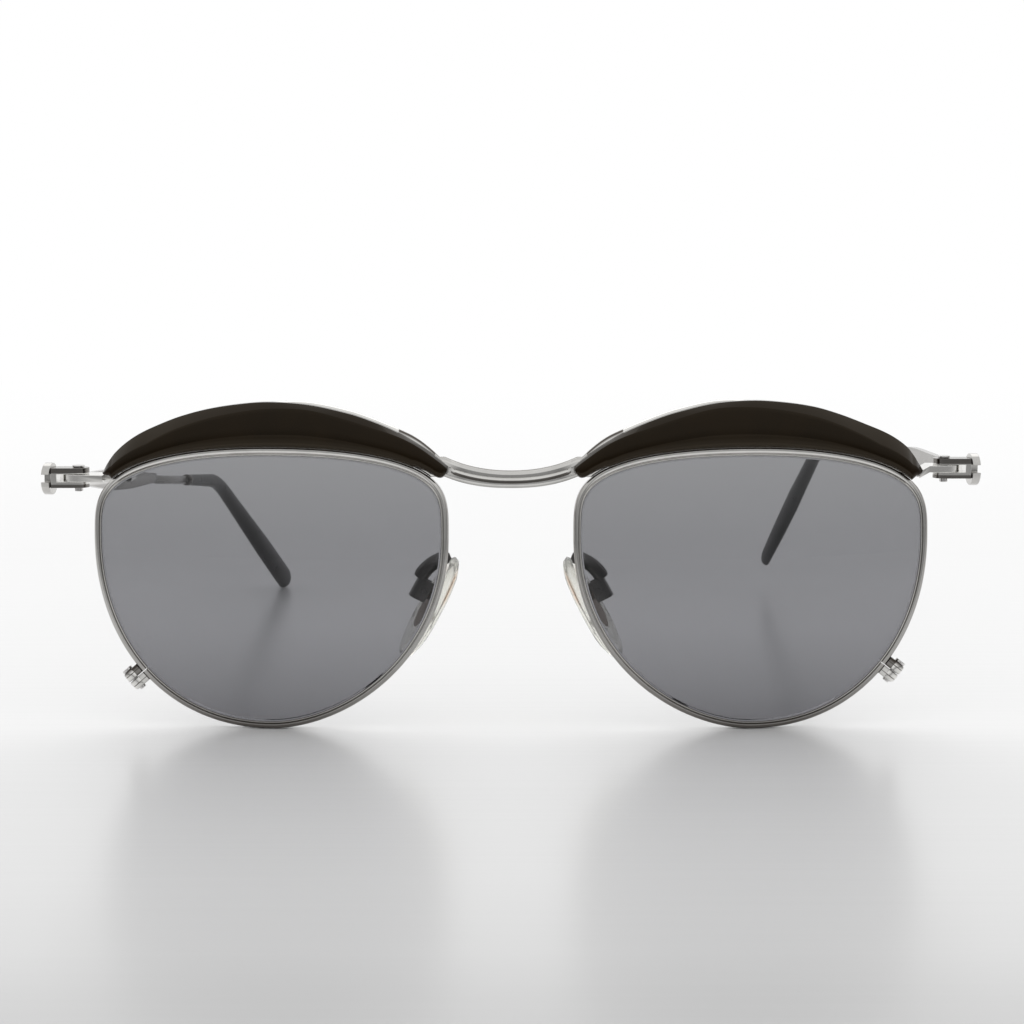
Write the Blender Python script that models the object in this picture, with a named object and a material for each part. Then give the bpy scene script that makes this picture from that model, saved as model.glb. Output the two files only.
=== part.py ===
"""Round browline sunglasses: metal rims and a bridge bar under acetate brows, with folding temples.

Metres, +Z up. X runs across the face, -Y is the side that looks ahead, and the table that the
glasses stand on is z = 0. Left and right are as seen from ahead. The right temple has been bent up
and out a little, so the glasses stand on both rims and the left tip.
"""

import math

import bmesh
import bpy
from mathutils import Vector

# Rims and lenses, seen from ahead
RIM_CENTRE_X = 0.03497
RIM_HALF_WIDTH = 0.02593
RIM_HEIGHT = 0.0412
RIM_INNER_X = RIM_CENTRE_X - RIM_HALF_WIDTH
RIM_OUTER_X = RIM_CENTRE_X + RIM_HALF_WIDTH
# Where the rim is widest, as shares of its height
WIDEST_TEMPLE_SHARE = 0.6857
WIDEST_NOSE_SHARE = 0.6799
WIDEST_TEMPLE_SIDE = RIM_HEIGHT * WIDEST_TEMPLE_SHARE
WIDEST_NOSE_SIDE = RIM_HEIGHT * WIDEST_NOSE_SHARE
# Fullness of each quarter of the outline: across and up
TOP_TEMPLE_POWERS = (2.07, 3.35)
LOW_TEMPLE_POWERS = (2.17, 2.10)
TOP_NOSE_POWERS = (2.19, 3.86)
LOW_NOSE_POWERS = (1.82, 2.06)
LENS_CURVE_RADIUS = 0.100
FACE_FORM_SHARE = 0.06

# Rim wire and lens edge
RIM_WIDTH = 0.0011
RIM_DEPTH = 0.0022
RIM_ROUND = 0.0003
RIM_LIP_ROUND = 0.00012
GROOVE_DEPTH = 0.0005
GROOVE_MOUTH = 0.0014
GROOVE_FLOOR = 0.0003
LENS_THICKNESS = 0.0018
LENS_FIT = 0.00006
SEAT_GAP = 0.00004

# Closing block that opens the rim to let the lens in
LOCK_HEIGHT = {"left": 0.0081, "right": 0.0091}
LOCK_SPLIT = 0.00015
LOCK_LENGTH = 0.00140
LOCK_RADIUS = 0.00105
LOCK_STANDOFF = 0.00165
LOCK_FOOT_DEPTH = 0.0016
LOCK_SCREW_RADIUS = 0.0005
LOCK_HEAD_RADIUS = 0.00078
LOCK_HEAD_HEIGHT = 0.0004
LOCK_SCREW_TIP = 0.00035

# Brow bar: bridge, with the backing plates of both brows; drops are measured down from the rims' top
BAR_THICKNESS = 0.0011
BRIDGE_BOTTOM_DROP = 0.0060
BRIDGE_TOP_DROP = 0.00345
BRIDGE_BOTTOM = RIM_HEIGHT - BRIDGE_BOTTOM_DROP
BRIDGE_TOP = RIM_HEIGHT - BRIDGE_TOP_DROP
BRIDGE_OVERLAP = 0.00056
BRIDGE_HALF_SPAN = RIM_INNER_X + BRIDGE_OVERLAP
BRIDGE_FLAT_HALF = 0.0060
BRIDGE_TOP_RISE = 0.00194
BRIDGE_TOP_POWER = 2.15
BRIDGE_BOTTOM_RISE = 0.00165
BRIDGE_BOTTOM_POWER = 2.4
BAR_END_INSET = 0.0034
BAR_HALF_LENGTH = RIM_OUTER_X - BAR_END_INSET
# How far the bar shows over the brow: (distance from the brow's inner end, height over its top edge)
BAR_REVEAL_ROWS = (
    (0.0002, 0.0), (0.0023, 0.0004), (0.0048, 0.00055), (0.0073, 0.0004), (0.0208, 0.0003), (0.0308, -0.0006),
)
BRIDGE_GROOVE_HALF_LENGTH = 0.0087
BRIDGE_GROOVE_HEIGHT = 0.00065
BRIDGE_GROOVE_DEPTH = 0.0003

# Acetate brows
BROW_HEIGHT = 0.0068
BROW_THICKNESS = 0.0024
BROW_INNER_INSET = 0.00016
BROW_INNER_X = RIM_INNER_X + BROW_INNER_INSET
BROW_OUTER_INSET = 0.0014
BROW_OUTER_X = RIM_OUTER_X - BROW_OUTER_INSET
BROW_OUTER_TIP_DROP = 0.0040
BROW_TIP_SLOPE_SHARE = 0.8
# Bevel along the top edge: (distance from the inner end, height of the bevel)
BROW_BEVEL_ROWS = (
    (0.0, 0.0003), (0.0058, 0.0004), (0.0118, 0.0009), (0.0198, 0.0007), (0.0258, 0.0009), (0.0358, 0.00135),
    (0.0418, 0.0017), (0.0468, 0.0023), (0.0503, 0.0023),
)
BROW_BEVEL_LARGEST_SHARE = 0.42
# Underside of the inner tip, which stands clear of the rim: (distance from the end, drop from the rims' top)
BROW_INNER_UNDER_ROWS = (
    (0.0, 0.0034), (0.0004, 0.0041), (0.0009, 0.0044), (0.0016, 0.00425), (0.0024, 0.00375), (0.0033, 0.0033),
    (0.0045, 0.0028),
)
BROW_END_ROUND = 0.0026
# Top edge: (share of the rim's half width out from its middle, share of the brow's height over the rim)
BROW_TOP_SHARES = (
    (-1.000, -0.42), (-0.942, -0.23), (-0.830, 0.08), (-0.700, 0.355), (-0.560, 0.583), (-0.430, 0.750),
    (-0.210, 0.945), (0.000, 1.00), (0.185, 0.953), (0.350, 0.852), (0.487, 0.697), (0.622, 0.500),
    (0.776, 0.245), (0.876, -0.065), (0.954, -0.53), (0.990, -0.90),
)
# Section under the bevel: (share of the height up, share of the thickness forward)
BROW_SECTION_SHARES = (
    (0.0, 0.0), (0.0, 0.42), (0.09, 0.76), (0.28, 0.95), (0.52, 1.0), (0.78, 0.97), (1.0, 0.86),
)
BROW_TOP_THICKNESS_SHARE = 0.42
BROW_SCREW_INNER_INSET = 0.0108
BROW_SCREW_OUTER_INSET = 0.0095
BROW_SCREW_RADIUS = 0.0005
BROW_SCREW_HEAD_RADIUS = 0.0010
BROW_SCREW_HEAD_HEIGHT = 0.0004
BROW_SCREW_REACH = 0.0013
SCREW_CLEARANCE = 0.00008

# End plates, which leave the front behind the rims and carry the hinge pins
PIN_OUTSET = 0.0027
PIN_X = RIM_OUTER_X + PIN_OUTSET
PIN_Y = 0.0092
HINGE_DROP = 0.0049
HINGE_HEIGHT = RIM_HEIGHT - HINGE_DROP
END_LIFT = {"left": 0.0, "right": 0.0014}
END_PLATE_THICKNESS = 0.0010
END_PLATE_HALF_DEPTH = 0.0023
END_PLATE_ROOT_INSET = 0.0056
END_PLATE_ROOT_X = RIM_OUTER_X - END_PLATE_ROOT_INSET
END_PLATE_STEP_INSET = 0.0012
END_PLATE_STEP_X = RIM_OUTER_X - END_PLATE_STEP_INSET
END_PLATE_NECK_OUTSET = 0.0003
END_PLATE_NECK_X = RIM_OUTER_X + END_PLATE_NECK_OUTSET
END_PLATE_SEAT = 0.0001

# Temple hinges
HINGE_PLAY = 0.00006
LEAF_THICKNESS = 0.0009
LEAF_HALF_DEPTH = 0.0016
HINGE_BASE_INNER = 0.0030
HINGE_SCREW_RADIUS = 0.0006
HINGE_SCREW_HEAD_RADIUS = 0.0009
HINGE_SCREW_HEAD_HEIGHT = 0.0003
HINGE_SCREW_TIP = 0.0006

# Temples
TEMPLE_OFFSET = 0.0043
TEMPLE_DROP_AT_HINGE = 0.0002
TEMPLE_TURN_IN_DEGREES = {"left": 7.3, "right": 5.5}
TEMPLE_FALL_DEGREES = {"left": 6.2, "right": 2.7}
TEMPLE_BEND_DISTANCE = 0.0996
TEMPLE_BEND_RADIUS = 0.0180
BLADE_THICKNESS = 0.00115
BLADE_HEAD_RADIUS = 0.00235
BLADE_LENGTH = 0.0565
BLADE_HEIGHT = 0.0035
BLADE_SLOT_LENGTH = 0.0018
BLADE_SQUARENESS_SHARE = 1.0
WIRE_RADIUS = 0.00055
# Edges of the blade behind its head: (share of the blade's length, share of half its height)
BLADE_UNDER_SHARES = (
    (0.00, 0.60), (0.09, 0.55), (0.20, 0.53), (0.34, 0.62), (0.45, 0.80), (0.57, 1.00), (0.66, 0.955),
    (0.74, 0.86), (0.81, 0.72), (0.89, 0.54), (0.97, 0.34), (1.05, 0.314),
)
BLADE_OVER_SHARES = (
    (0.00, 0.60), (0.09, 0.55), (0.20, 0.53), (0.34, 0.62), (0.45, 0.80), (0.57, 1.00), (0.66, 0.955),
    (0.74, 0.86), (0.81, 0.75), (0.89, 0.68), (0.97, 0.63), (1.05, 0.61),
)
COLLAR_DISTANCE = 0.0778
COLLAR_LENGTH = 0.0015
COLLAR_RADIUS = 0.0010
COLLAR_FIT = 0.00005

# Plastic tips over the wire
TIP_GAP = 0.00005
TIP_DROP_LENGTH = 0.0417
TIP_TURN_IN_DEGREES = {"left": 15.1, "right": 12.2}
TIP_RAISED = {"left": 0.0, "right": 0.0042}
TIP_HALF_WIDTH = 0.0023
TIP_HALF_THICKNESS = 0.0013
TIP_BORE_FIT = 0.00006
# Swell of the tip: (share of its length, share of its half width, share of its half thickness)
TIP_SWELL_SHARES = (
    (0.00, 0.43, 0.72), (0.15, 0.48, 0.76), (0.33, 0.56, 0.82), (0.50, 0.68, 0.88), (0.68, 0.86, 0.94),
    (0.86, 1.00, 1.00), (1.00, 1.00, 1.00),
)
CORE_REACH_SHARE = 0.62

# Nose pads on their arms; drops are measured down from the rim's widest place on the nose side
PAD_PIVOT_INSET = 0.00416
PAD_PIVOT_X = RIM_INNER_X + PAD_PIVOT_INSET
PAD_PIVOT_Y = 0.0098
PAD_PIVOT_DROP = 0.0084
PAD_TILT_DEGREES = 29.0
PAD_SPLAY_DEGREES = 15.0
PAD_HALF_LENGTH = 0.0085
PAD_HALF_WIDTH = 0.0042
PAD_THICKNESS = 0.0022
PAD_STANDOFF = 0.0016
PAD_BELOW_PIVOT = 0.0020
PAD_OUTLINE_POWER = 2.3
PAD_PLATE_HALF_LENGTH = 0.0045
PAD_PLATE_HALF_WIDTH = 0.0020
PAD_PLATE_THICKNESS = 0.0005
PAD_PLATE_FIT = 0.00006
PAD_BOSS_HALF_THICKNESS = 0.0005
PAD_BOSS_RADIUS = 0.0009
PAD_BOX_PLAY = 0.00010
PAD_BOX_WALL = 0.0004
PAD_BOX_HALF_LENGTH = 0.0016
PAD_BOX_INNER = 0.0009
PAD_SCREW_RADIUS = 0.0004
PAD_SCREW_HEAD_RADIUS = 0.0007
PAD_SCREW_HEAD_HEIGHT = 0.0003
PAD_BOX_ROUND = 0.0005
PAD_ARM_RADIUS = 0.0007
PAD_ARM_ROOT_DROP = 0.0031
PAD_ARM_RISE = 0.0009
PAD_ARM_SWEEP = 0.0016
PAD_ARM_SEAT = 0.00008

# How finely round shapes are divided
RIM_STATIONS = 72
OUTLINE_STEPS = 1440
BRIDGE_STATIONS = 7
BAR_STATIONS = 26
BROW_STATIONS = 30
SCREW_SIDES = 16
TEMPLE_SIDES = 12
CORE_STATIONS = 14
TIP_STATIONS = 22
BLADE_STATIONS = 16
PAD_SIDES = 28
ARM_STEPS = 14
CUT_OVERRUN = 0.0005
SMOOTH_ANGLE = math.radians(35)

# Finishes: colour, metallic, roughness, alpha
CHROME = ((0.72, 0.71, 0.69), 1.0, 0.12, 1.0)
STEEL = ((0.55, 0.54, 0.52), 1.0, 0.22, 1.0)
ACETATE = ((0.022, 0.014, 0.011), 0.0, 0.12, 1.0)
TIP_PLASTIC = ((0.015, 0.013, 0.013), 0.0, 0.25, 1.0)
GREY_LENS = ((0.24, 0.24, 0.25), 0.0, 0.03, 0.65)
SILICONE = ((0.86, 0.87, 0.84), 0.0, 0.18, 0.55)
COPPERY = ((0.62, 0.42, 0.28), 1.0, 0.25, 1.0)

SIDES = {"left": -1, "right": 1}


def clamp(value, low=0.0, high=1.0):
    return max(low, min(high, value))


def blend(start, end, share):
    return start + (end - start) * share


def smooth_table(rows, where):
    """Value at `where` of a smooth curve through rows of (place, value)."""
    if where <= rows[0][0]:
        return rows[0][1]
    if where >= rows[-1][0]:
        return rows[-1][1]
    k = max(i for i in range(len(rows) - 1) if rows[i][0] <= where)

    def slope(i):
        low, high = max(i - 1, 0), min(i + 1, len(rows) - 1)
        return (rows[high][1] - rows[low][1]) / (rows[high][0] - rows[low][0])

    span = rows[k + 1][0] - rows[k][0]
    t = (where - rows[k][0]) / span
    rise = rows[k + 1][1] - rows[k][1]
    bend = slope(k) * span - rise
    tail = slope(k + 1) * span - rise
    return rows[k][1] + t * rise + t * (1 - t) * ((1 - t) * bend - t * tail)


def front_depth(out, up):
    """Depth of the bowed front, `out` from the middle of the glasses and `up` from the table."""
    across = abs(out) - RIM_CENTRE_X
    rise = up - RIM_HEIGHT / 2
    bow = LENS_CURVE_RADIUS - math.sqrt(LENS_CURVE_RADIUS**2 - across**2 - rise**2)
    return bow + FACE_FORM_SHARE * (abs(out) - RIM_INNER_X)


def front_normal(out, up):
    """Direction out of the back of the front there, in (out, back, up)."""
    across = abs(out) - RIM_CENTRE_X
    rise = up - RIM_HEIGHT / 2
    fall = math.sqrt(LENS_CURVE_RADIUS**2 - across**2 - rise**2)
    return Vector((-across / fall - FACE_FORM_SHARE, 1, -rise / fall)).normalized()


def edge_point(turn):
    """Point (out, up) of the rim's outer edge: four full quarters that meet square."""
    across, rise = math.cos(turn), math.sin(turn)
    widest = WIDEST_TEMPLE_SIDE if across > 0 else WIDEST_NOSE_SIDE
    if rise > 0:
        powers = TOP_TEMPLE_POWERS if across > 0 else TOP_NOSE_POWERS
        reach = RIM_HEIGHT - widest
    else:
        powers = LOW_TEMPLE_POWERS if across > 0 else LOW_NOSE_POWERS
        reach = widest
    out = RIM_CENTRE_X + RIM_HALF_WIDTH * math.copysign(abs(across) ** (2 / powers[0]), across)
    return Vector((out, widest + reach * math.copysign(abs(rise) ** (2 / powers[1]), rise)))


def rim_top(out):
    """Height of the rim's top edge at a distance `out` from the middle of the glasses."""
    share = clamp(abs(out - RIM_CENTRE_X) / RIM_HALF_WIDTH)
    on_temple_side = out > RIM_CENTRE_X
    widest = WIDEST_TEMPLE_SIDE if on_temple_side else WIDEST_NOSE_SIDE
    across_power, up_power = TOP_TEMPLE_POWERS if on_temple_side else TOP_NOSE_POWERS
    return widest + (RIM_HEIGHT - widest) * (1 - share**across_power) ** (1 / up_power)


def lock_turn(side):
    """Where on the outline the rim opens."""
    share = (WIDEST_TEMPLE_SIDE - LOCK_HEIGHT[side]) / WIDEST_TEMPLE_SIDE
    return -math.asin(share ** (LOW_TEMPLE_POWERS[1] / 2))


def rim_path(side):
    """Evenly spaced points and outward normals round the rim, from the closing block round to it."""
    start = lock_turn(side)
    dense = [edge_point(start + math.tau * i / OUTLINE_STEPS) for i in range(OUTLINE_STEPS + 1)]
    run = [0.0]
    for near, far in zip(dense, dense[1:]):
        run.append(run[-1] + (far - near).length)
    places = []
    for station in range(RIM_STATIONS + 1):
        ends = LOCK_SPLIT / 2 * (station == 0) - LOCK_SPLIT / 2 * (station == RIM_STATIONS)
        wanted = run[-1] * station / RIM_STATIONS + ends
        k = next(i for i in range(1, len(run)) if run[i] >= wanted)
        point = dense[k - 1].lerp(dense[k], (wanted - run[k - 1]) / (run[k] - run[k - 1]))
        along = dense[k] - dense[k - 1]
        places.append((point, Vector((along.y, -along.x)).normalized()))
    return places


def rim_ring(place, section, side):
    """The section's points (inset, depth) at one place round a rim."""
    point, normal = place
    ring = []
    for inset, depth in section:
        out, up = point - normal * inset
        ring.append(Vector((SIDES[side] * out, front_depth(out, up) + depth, up)))
    return ring


def paint(thing, look):
    colour, metallic, roughness, alpha = look
    material = bpy.data.materials.new(thing.name)
    material.use_nodes = True
    shader = material.node_tree.nodes["Principled BSDF"]
    shader.inputs["Base Color"].default_value = (*colour, 1.0)
    shader.inputs["Metallic"].default_value = metallic
    shader.inputs["Roughness"].default_value = roughness
    shader.inputs["Alpha"].default_value = alpha
    material.diffuse_color = (*colour, alpha)
    thing.data.materials.append(material)


def empty(name, place, parent=None):
    holder = bpy.data.objects.new(name, None)
    bpy.context.scene.collection.objects.link(holder)
    holder.location = place
    holder.parent = parent
    return holder


def loft(name, rings, look, parent, looped=False, poles=None):
    """A solid skinned over rings of equally many points, with flat ends, ends at poles, or looped."""
    shape = bmesh.new()
    rows = [[shape.verts.new(point) for point in ring] for ring in rings]
    pairs = list(zip(rows, rows[1:]))
    if looped:
        pairs.append((rows[-1], rows[0]))
    for near, far in pairs:
        for i in range(len(near)):
            shape.faces.new((near[i - 1], near[i], far[i], far[i - 1]))
    if poles:
        for pole, row in zip(poles, (rows[0], rows[-1])):
            tip = shape.verts.new(pole)
            for i in range(len(row)):
                shape.faces.new((tip, row[i - 1], row[i]))
    elif not looped:
        shape.faces.new(rows[0])
        shape.faces.new(rows[-1])
    bmesh.ops.recalc_face_normals(shape, faces=shape.faces)
    if shape.calc_volume(signed=True) < 0:
        bmesh.ops.reverse_faces(shape, faces=shape.faces)
    mesh = bpy.data.meshes.new(name)
    shape.to_mesh(mesh)
    shape.free()
    thing = bpy.data.objects.new(name, mesh)
    bpy.context.scene.collection.objects.link(thing)
    thing.parent = parent
    paint(thing, look)
    mesh.shade_smooth()
    mesh.set_sharp_from_angle(angle=SMOOTH_ANGLE)
    return thing


def cut(thing, cutter):
    """Takes the cutter's shape out of the thing, and the cutter out of the scene."""
    tool = thing.modifiers.new("cut", "BOOLEAN")
    tool.operation = "DIFFERENCE"
    tool.solver = "EXACT"
    tool.object = cutter
    bpy.context.view_layer.update()
    result = bpy.data.meshes.new_from_object(thing.evaluated_get(bpy.context.evaluated_depsgraph_get()))
    thing.modifiers.clear()
    thing.data = result
    result.set_sharp_from_angle(angle=SMOOTH_ANGLE)
    bpy.data.objects.remove(cutter)


def circle(radius, sides, centre, across, up):
    """Points round a circle in the plane of two directions."""
    turns = (math.tau * (i + 0.5) / sides for i in range(sides))
    return [centre + across * (radius * math.cos(t)) + up * (radius * math.sin(t)) for t in turns]


def square_to(direction):
    """Two directions square to the given one and to each other."""
    helper = Vector((0, 0, 1)) if abs(direction.z) < abs(direction.y) + abs(direction.x) else Vector((1, 0, 0))
    across = direction.cross(helper).normalized()
    return across, across.cross(direction)


def turned(name, profile, foot, direction, look, parent, looped=False):
    """A turned piece: profile rows (radius, distance along the direction from the foot)."""
    across, up = square_to(direction)
    rings = [circle(radius, SCREW_SIDES, foot + direction * along, across, up) for radius, along in profile]
    return loft(name, rings, look, parent, looped=looped)


def bore(thing, radius, foot, direction, length):
    """Drills a round hole from the foot along the direction."""
    profile = ((radius, -CUT_OVERRUN), (radius, length))
    cut(thing, turned("drill", profile, foot, direction, STEEL, thing.parent))


def block(name, low, high, look, parent):
    """A box between two corners."""
    rings = [
        [Vector((x, y, z)) for x, y in ((low.x, low.y), (high.x, low.y), (high.x, high.y), (low.x, high.y))]
        for z in (low.z, high.z)
    ]
    return loft(name, rings, look, parent)


# Rims, lenses and closing blocks


def rim_section():
    half = RIM_DEPTH / 2
    return (
        (RIM_ROUND, -half), (0.0, RIM_ROUND - half), (0.0, half - RIM_ROUND), (RIM_ROUND, half),
        (RIM_WIDTH - RIM_LIP_ROUND, half), (RIM_WIDTH, half - RIM_LIP_ROUND), (RIM_WIDTH, GROOVE_MOUTH / 2),
        (RIM_WIDTH - GROOVE_DEPTH, GROOVE_FLOOR / 2), (RIM_WIDTH - GROOVE_DEPTH, -GROOVE_FLOOR / 2),
        (RIM_WIDTH, -GROOVE_MOUTH / 2), (RIM_WIDTH, RIM_LIP_ROUND - half), (RIM_WIDTH - RIM_LIP_ROUND, -half),
    )


def make_rim(side, front):
    """The eyewire: a grooved wire round the lens, open at the closing block."""
    section = rim_section()
    return loft(f"rim_{side}", [rim_ring(place, section, side) for place in rim_path(side)], CHROME, front)


def make_lens(side, front):
    """The lens: a shell of the front's curve whose bevelled edge lies in the rim's groove."""
    fall = (GROOVE_MOUTH - GROOVE_FLOOR) / 2 / GROOVE_DEPTH
    half = LENS_THICKNESS / 2
    edge_inset = RIM_WIDTH + (half - GROOVE_MOUTH / 2 + LENS_FIT) / fall
    apex_inset = RIM_WIDTH - GROOVE_DEPTH + LENS_FIT
    apex_half = GROOVE_MOUTH / 2 - fall * (RIM_WIDTH - apex_inset) - LENS_FIT
    places = rim_path(side)[:-1]
    middle = Vector((RIM_CENTRE_X, RIM_HEIGHT / 2))

    def face_ring(share, depth):
        ring = []
        for point, normal in places:
            out, up = middle.lerp(point - normal * edge_inset, share)
            ring.append(Vector((SIDES[side] * out, front_depth(out, up) + depth, up)))
        return ring

    rings = [face_ring(share, -half) for share in (1 / 2, 1)]
    rings += [[rim_ring(place, ((apex_inset, depth),), side)[0] for place in places]
              for depth in (-apex_half, apex_half)]
    rings += [face_ring(share, half) for share in (1, 1 / 2)]
    centre = Vector((SIDES[side] * middle.x, front_depth(*middle), middle.y))
    poles = (centre - Vector((0, half, 0)), centre + Vector((0, half, 0)))
    return loft(f"lens_{side}", rings, GREY_LENS, front, poles=poles)


def make_closing_block(side, front):
    """Two half barrels brazed on the rim's open ends, and the screw that draws them together."""
    turn = lock_turn(side)
    split = edge_point(turn)
    along = (edge_point(turn + math.tau / OUTLINE_STEPS) - split).normalized()
    mirror = SIDES[side]
    tangent = Vector((mirror * along.x, 0, along.y))
    normal = Vector((mirror * along.y, 0, -along.x))
    root = Vector((mirror * split.x, front_depth(*split), split.y))
    back = Vector((0, 1, 0))
    neck = math.pi - math.asin(LOCK_FOOT_DEPTH / 2 / LOCK_RADIUS)
    arc = [blend(-neck, neck, i / 10) for i in range(11)]
    outline = [(SEAT_GAP, LOCK_FOOT_DEPTH / 2), (SEAT_GAP, -LOCK_FOOT_DEPTH / 2)]
    outline += [(LOCK_STANDOFF + LOCK_RADIUS * math.cos(a), LOCK_RADIUS * math.sin(a)) for a in arc]
    axis = root + normal * LOCK_STANDOFF
    for half, way in (("lower", -1), ("upper", 1)):
        rings = [
            [root + normal * n + back * y + tangent * (way * along_it) for n, y in outline]
            for along_it in (LOCK_SPLIT / 2, LOCK_SPLIT / 2 + LOCK_LENGTH)
        ]
        barrel = loft(f"closing_barrel_{half}_{side}", rings, CHROME, front)
        bore(barrel, LOCK_SCREW_RADIUS + SCREW_CLEARANCE, axis, tangent * way, LOCK_LENGTH + CUT_OVERRUN * 2)
    head = LOCK_SPLIT / 2 + LOCK_LENGTH + SEAT_GAP
    tip = LOCK_SPLIT / 2 + LOCK_LENGTH + LOCK_SCREW_TIP
    profile = (
        (LOCK_SCREW_RADIUS, -tip), (LOCK_SCREW_RADIUS, head), (LOCK_HEAD_RADIUS, head),
        (LOCK_HEAD_RADIUS, head + LOCK_HEAD_HEIGHT),
    )
    turned(f"closing_screw_{side}", profile, axis, tangent, STEEL, front)


# Brow bar and acetate brows


def brow_top(out):
    share = (out - RIM_CENTRE_X) / RIM_HALF_WIDTH
    return RIM_HEIGHT + BROW_HEIGHT * smooth_table(BROW_TOP_SHARES, share)


def brow_bottom(out):
    """Just over the rim, and at both ends up to the brow's tip."""
    if out < RIM_CENTRE_X:
        drop = smooth_table(BROW_INNER_UNDER_ROWS, out - BROW_INNER_X)
    else:
        drop = BROW_OUTER_TIP_DROP + (BROW_OUTER_X - out) * BROW_TIP_SLOPE_SHARE
    return max(rim_top(out) + SEAT_GAP, RIM_HEIGHT - drop)


def bar_top(out):
    arch = BRIDGE_TOP + BRIDGE_TOP_RISE * min(out / BRIDGE_HALF_SPAN, 1) ** BRIDGE_TOP_POWER
    if out < BROW_INNER_X:
        return arch
    return max(arch, brow_top(out) + smooth_table(BAR_REVEAL_ROWS, out - BROW_INNER_X))


def bar_bottom(out):
    arch = BRIDGE_BOTTOM + BRIDGE_BOTTOM_RISE * min(out / BRIDGE_HALF_SPAN, 1) ** BRIDGE_BOTTOM_POWER
    if out <= RIM_INNER_X:
        return arch
    return max(arch, rim_top(out) + SEAT_GAP)


def bar_depth(out, up):
    """Depth of the bar's middle: the front's own, and flat across the bridge."""
    if out >= BRIDGE_HALF_SPAN:
        return front_depth(out, up)
    share = clamp((out - BRIDGE_FLAT_HALF) / (BRIDGE_HALF_SPAN - BRIDGE_FLAT_HALF))
    middle = (BRIDGE_BOTTOM + BRIDGE_TOP) / 2
    return front_depth(BRIDGE_HALF_SPAN, blend(middle, up, share * share * (3 - 2 * share)))


def bar_ring(x, low, high, front_offset, back_offset):
    out = abs(x)
    corners = ((low, front_offset), (high, front_offset), (high, back_offset), (low, back_offset))
    return [Vector((x, bar_depth(out, up) + depth, up)) for up, depth in corners]


def make_brow_bar(front):
    """One stamped bar: the bridge, with its engraved line, and a plate behind each brow."""
    half = BAR_THICKNESS / 2
    bridge = [blend(0, BRIDGE_HALF_SPAN, i / BRIDGE_STATIONS) for i in range(1, BRIDGE_STATIONS)]
    wing = [blend(BRIDGE_HALF_SPAN, BAR_HALF_LENGTH, i / BAR_STATIONS) for i in range(BAR_STATIONS + 1)]
    places = [-x for x in reversed(bridge + wing)] + [0] + bridge + wing
    rings = [bar_ring(x, bar_bottom(abs(x)), bar_top(abs(x)), -half, half) for x in places]
    bar = loft("brow_bar", rings, CHROME, front)
    line = []
    for i in range(BAR_STATIONS + 1):
        x = BRIDGE_GROOVE_HALF_LENGTH * blend(-1, 1, i / BAR_STATIONS)
        middle = (bar_bottom(abs(x)) + bar_top(abs(x))) / 2
        reach = BRIDGE_GROOVE_HEIGHT / 2
        line.append(bar_ring(x, middle - reach, middle + reach, -half - CUT_OVERRUN, BRIDGE_GROOVE_DEPTH - half))
    cut(bar, loft("engraving", line, STEEL, front))
    return bar


def make_brow(side, front):
    """The acetate brow: a domed strip with a bevelled top edge, flat against the bar."""
    rings = []
    for i in range(BROW_STATIONS + 1):
        share = (1 - math.cos(math.pi * i / BROW_STATIONS)) / 2
        out = blend(BROW_INNER_X, BROW_OUTER_X, share)
        low, high = brow_bottom(out), brow_top(out)
        from_end = clamp(min(out - BROW_INNER_X, BROW_OUTER_X - out) / BROW_END_ROUND)
        thickness = BROW_THICKNESS * blend(0.5, 1.0, math.sqrt(from_end * (2 - from_end)))
        bevel = min(smooth_table(BROW_BEVEL_ROWS, out - BROW_INNER_X), (high - low) * BROW_BEVEL_LARGEST_SHARE)
        section = [(blend(low, high - bevel, up_share), forward) for up_share, forward in BROW_SECTION_SHARES]
        section += [(high, BROW_TOP_THICKNESS_SHARE), (high, 0)]
        ring = []
        for up, forward_share in section:
            back = bar_depth(out, up) - BAR_THICKNESS / 2 - SEAT_GAP
            ring.append(Vector((SIDES[side] * out, back - thickness * forward_share, up)))
        rings.append(ring)
    return loft(f"brow_{side}", rings, ACETATE, front)


def fasten_brow(side, front, bar, brow):
    """Two small screws through the bar into each brow."""
    places = {"inner": BROW_INNER_X + BROW_SCREW_INNER_INSET, "outer": BROW_OUTER_X - BROW_SCREW_OUTER_INSET}
    for where, out in places.items():
        up = (bar_bottom(out) + bar_top(out)) / 2
        normal = front_normal(out, up)
        normal.x *= SIDES[side]
        back = Vector((SIDES[side] * out, front_depth(out, up), up)) + normal * (BAR_THICKNESS / 2)
        reach = BAR_THICKNESS + BROW_SCREW_REACH
        hole = BROW_SCREW_RADIUS + SCREW_CLEARANCE
        bore(bar, hole, back, -normal, BAR_THICKNESS + CUT_OVERRUN)
        bore(brow, hole, back, -normal, reach + SEAT_GAP * 2)
        seat = SEAT_GAP * 2
        profile = (
            (BROW_SCREW_RADIUS, -reach), (BROW_SCREW_RADIUS, seat), (BROW_SCREW_HEAD_RADIUS, seat),
            (BROW_SCREW_HEAD_RADIUS, seat + BROW_SCREW_HEAD_HEIGHT / 2),
            (BROW_SCREW_HEAD_RADIUS * 0.6, seat + BROW_SCREW_HEAD_HEIGHT),
        )
        turned(f"brow_screw_{where}_{side}", profile, back, normal, STEEL, front)


# End plates and hinges


def hinge_centre(side):
    return Vector((SIDES[side] * PIN_X, PIN_Y, HINGE_HEIGHT + END_LIFT[side]))


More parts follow.
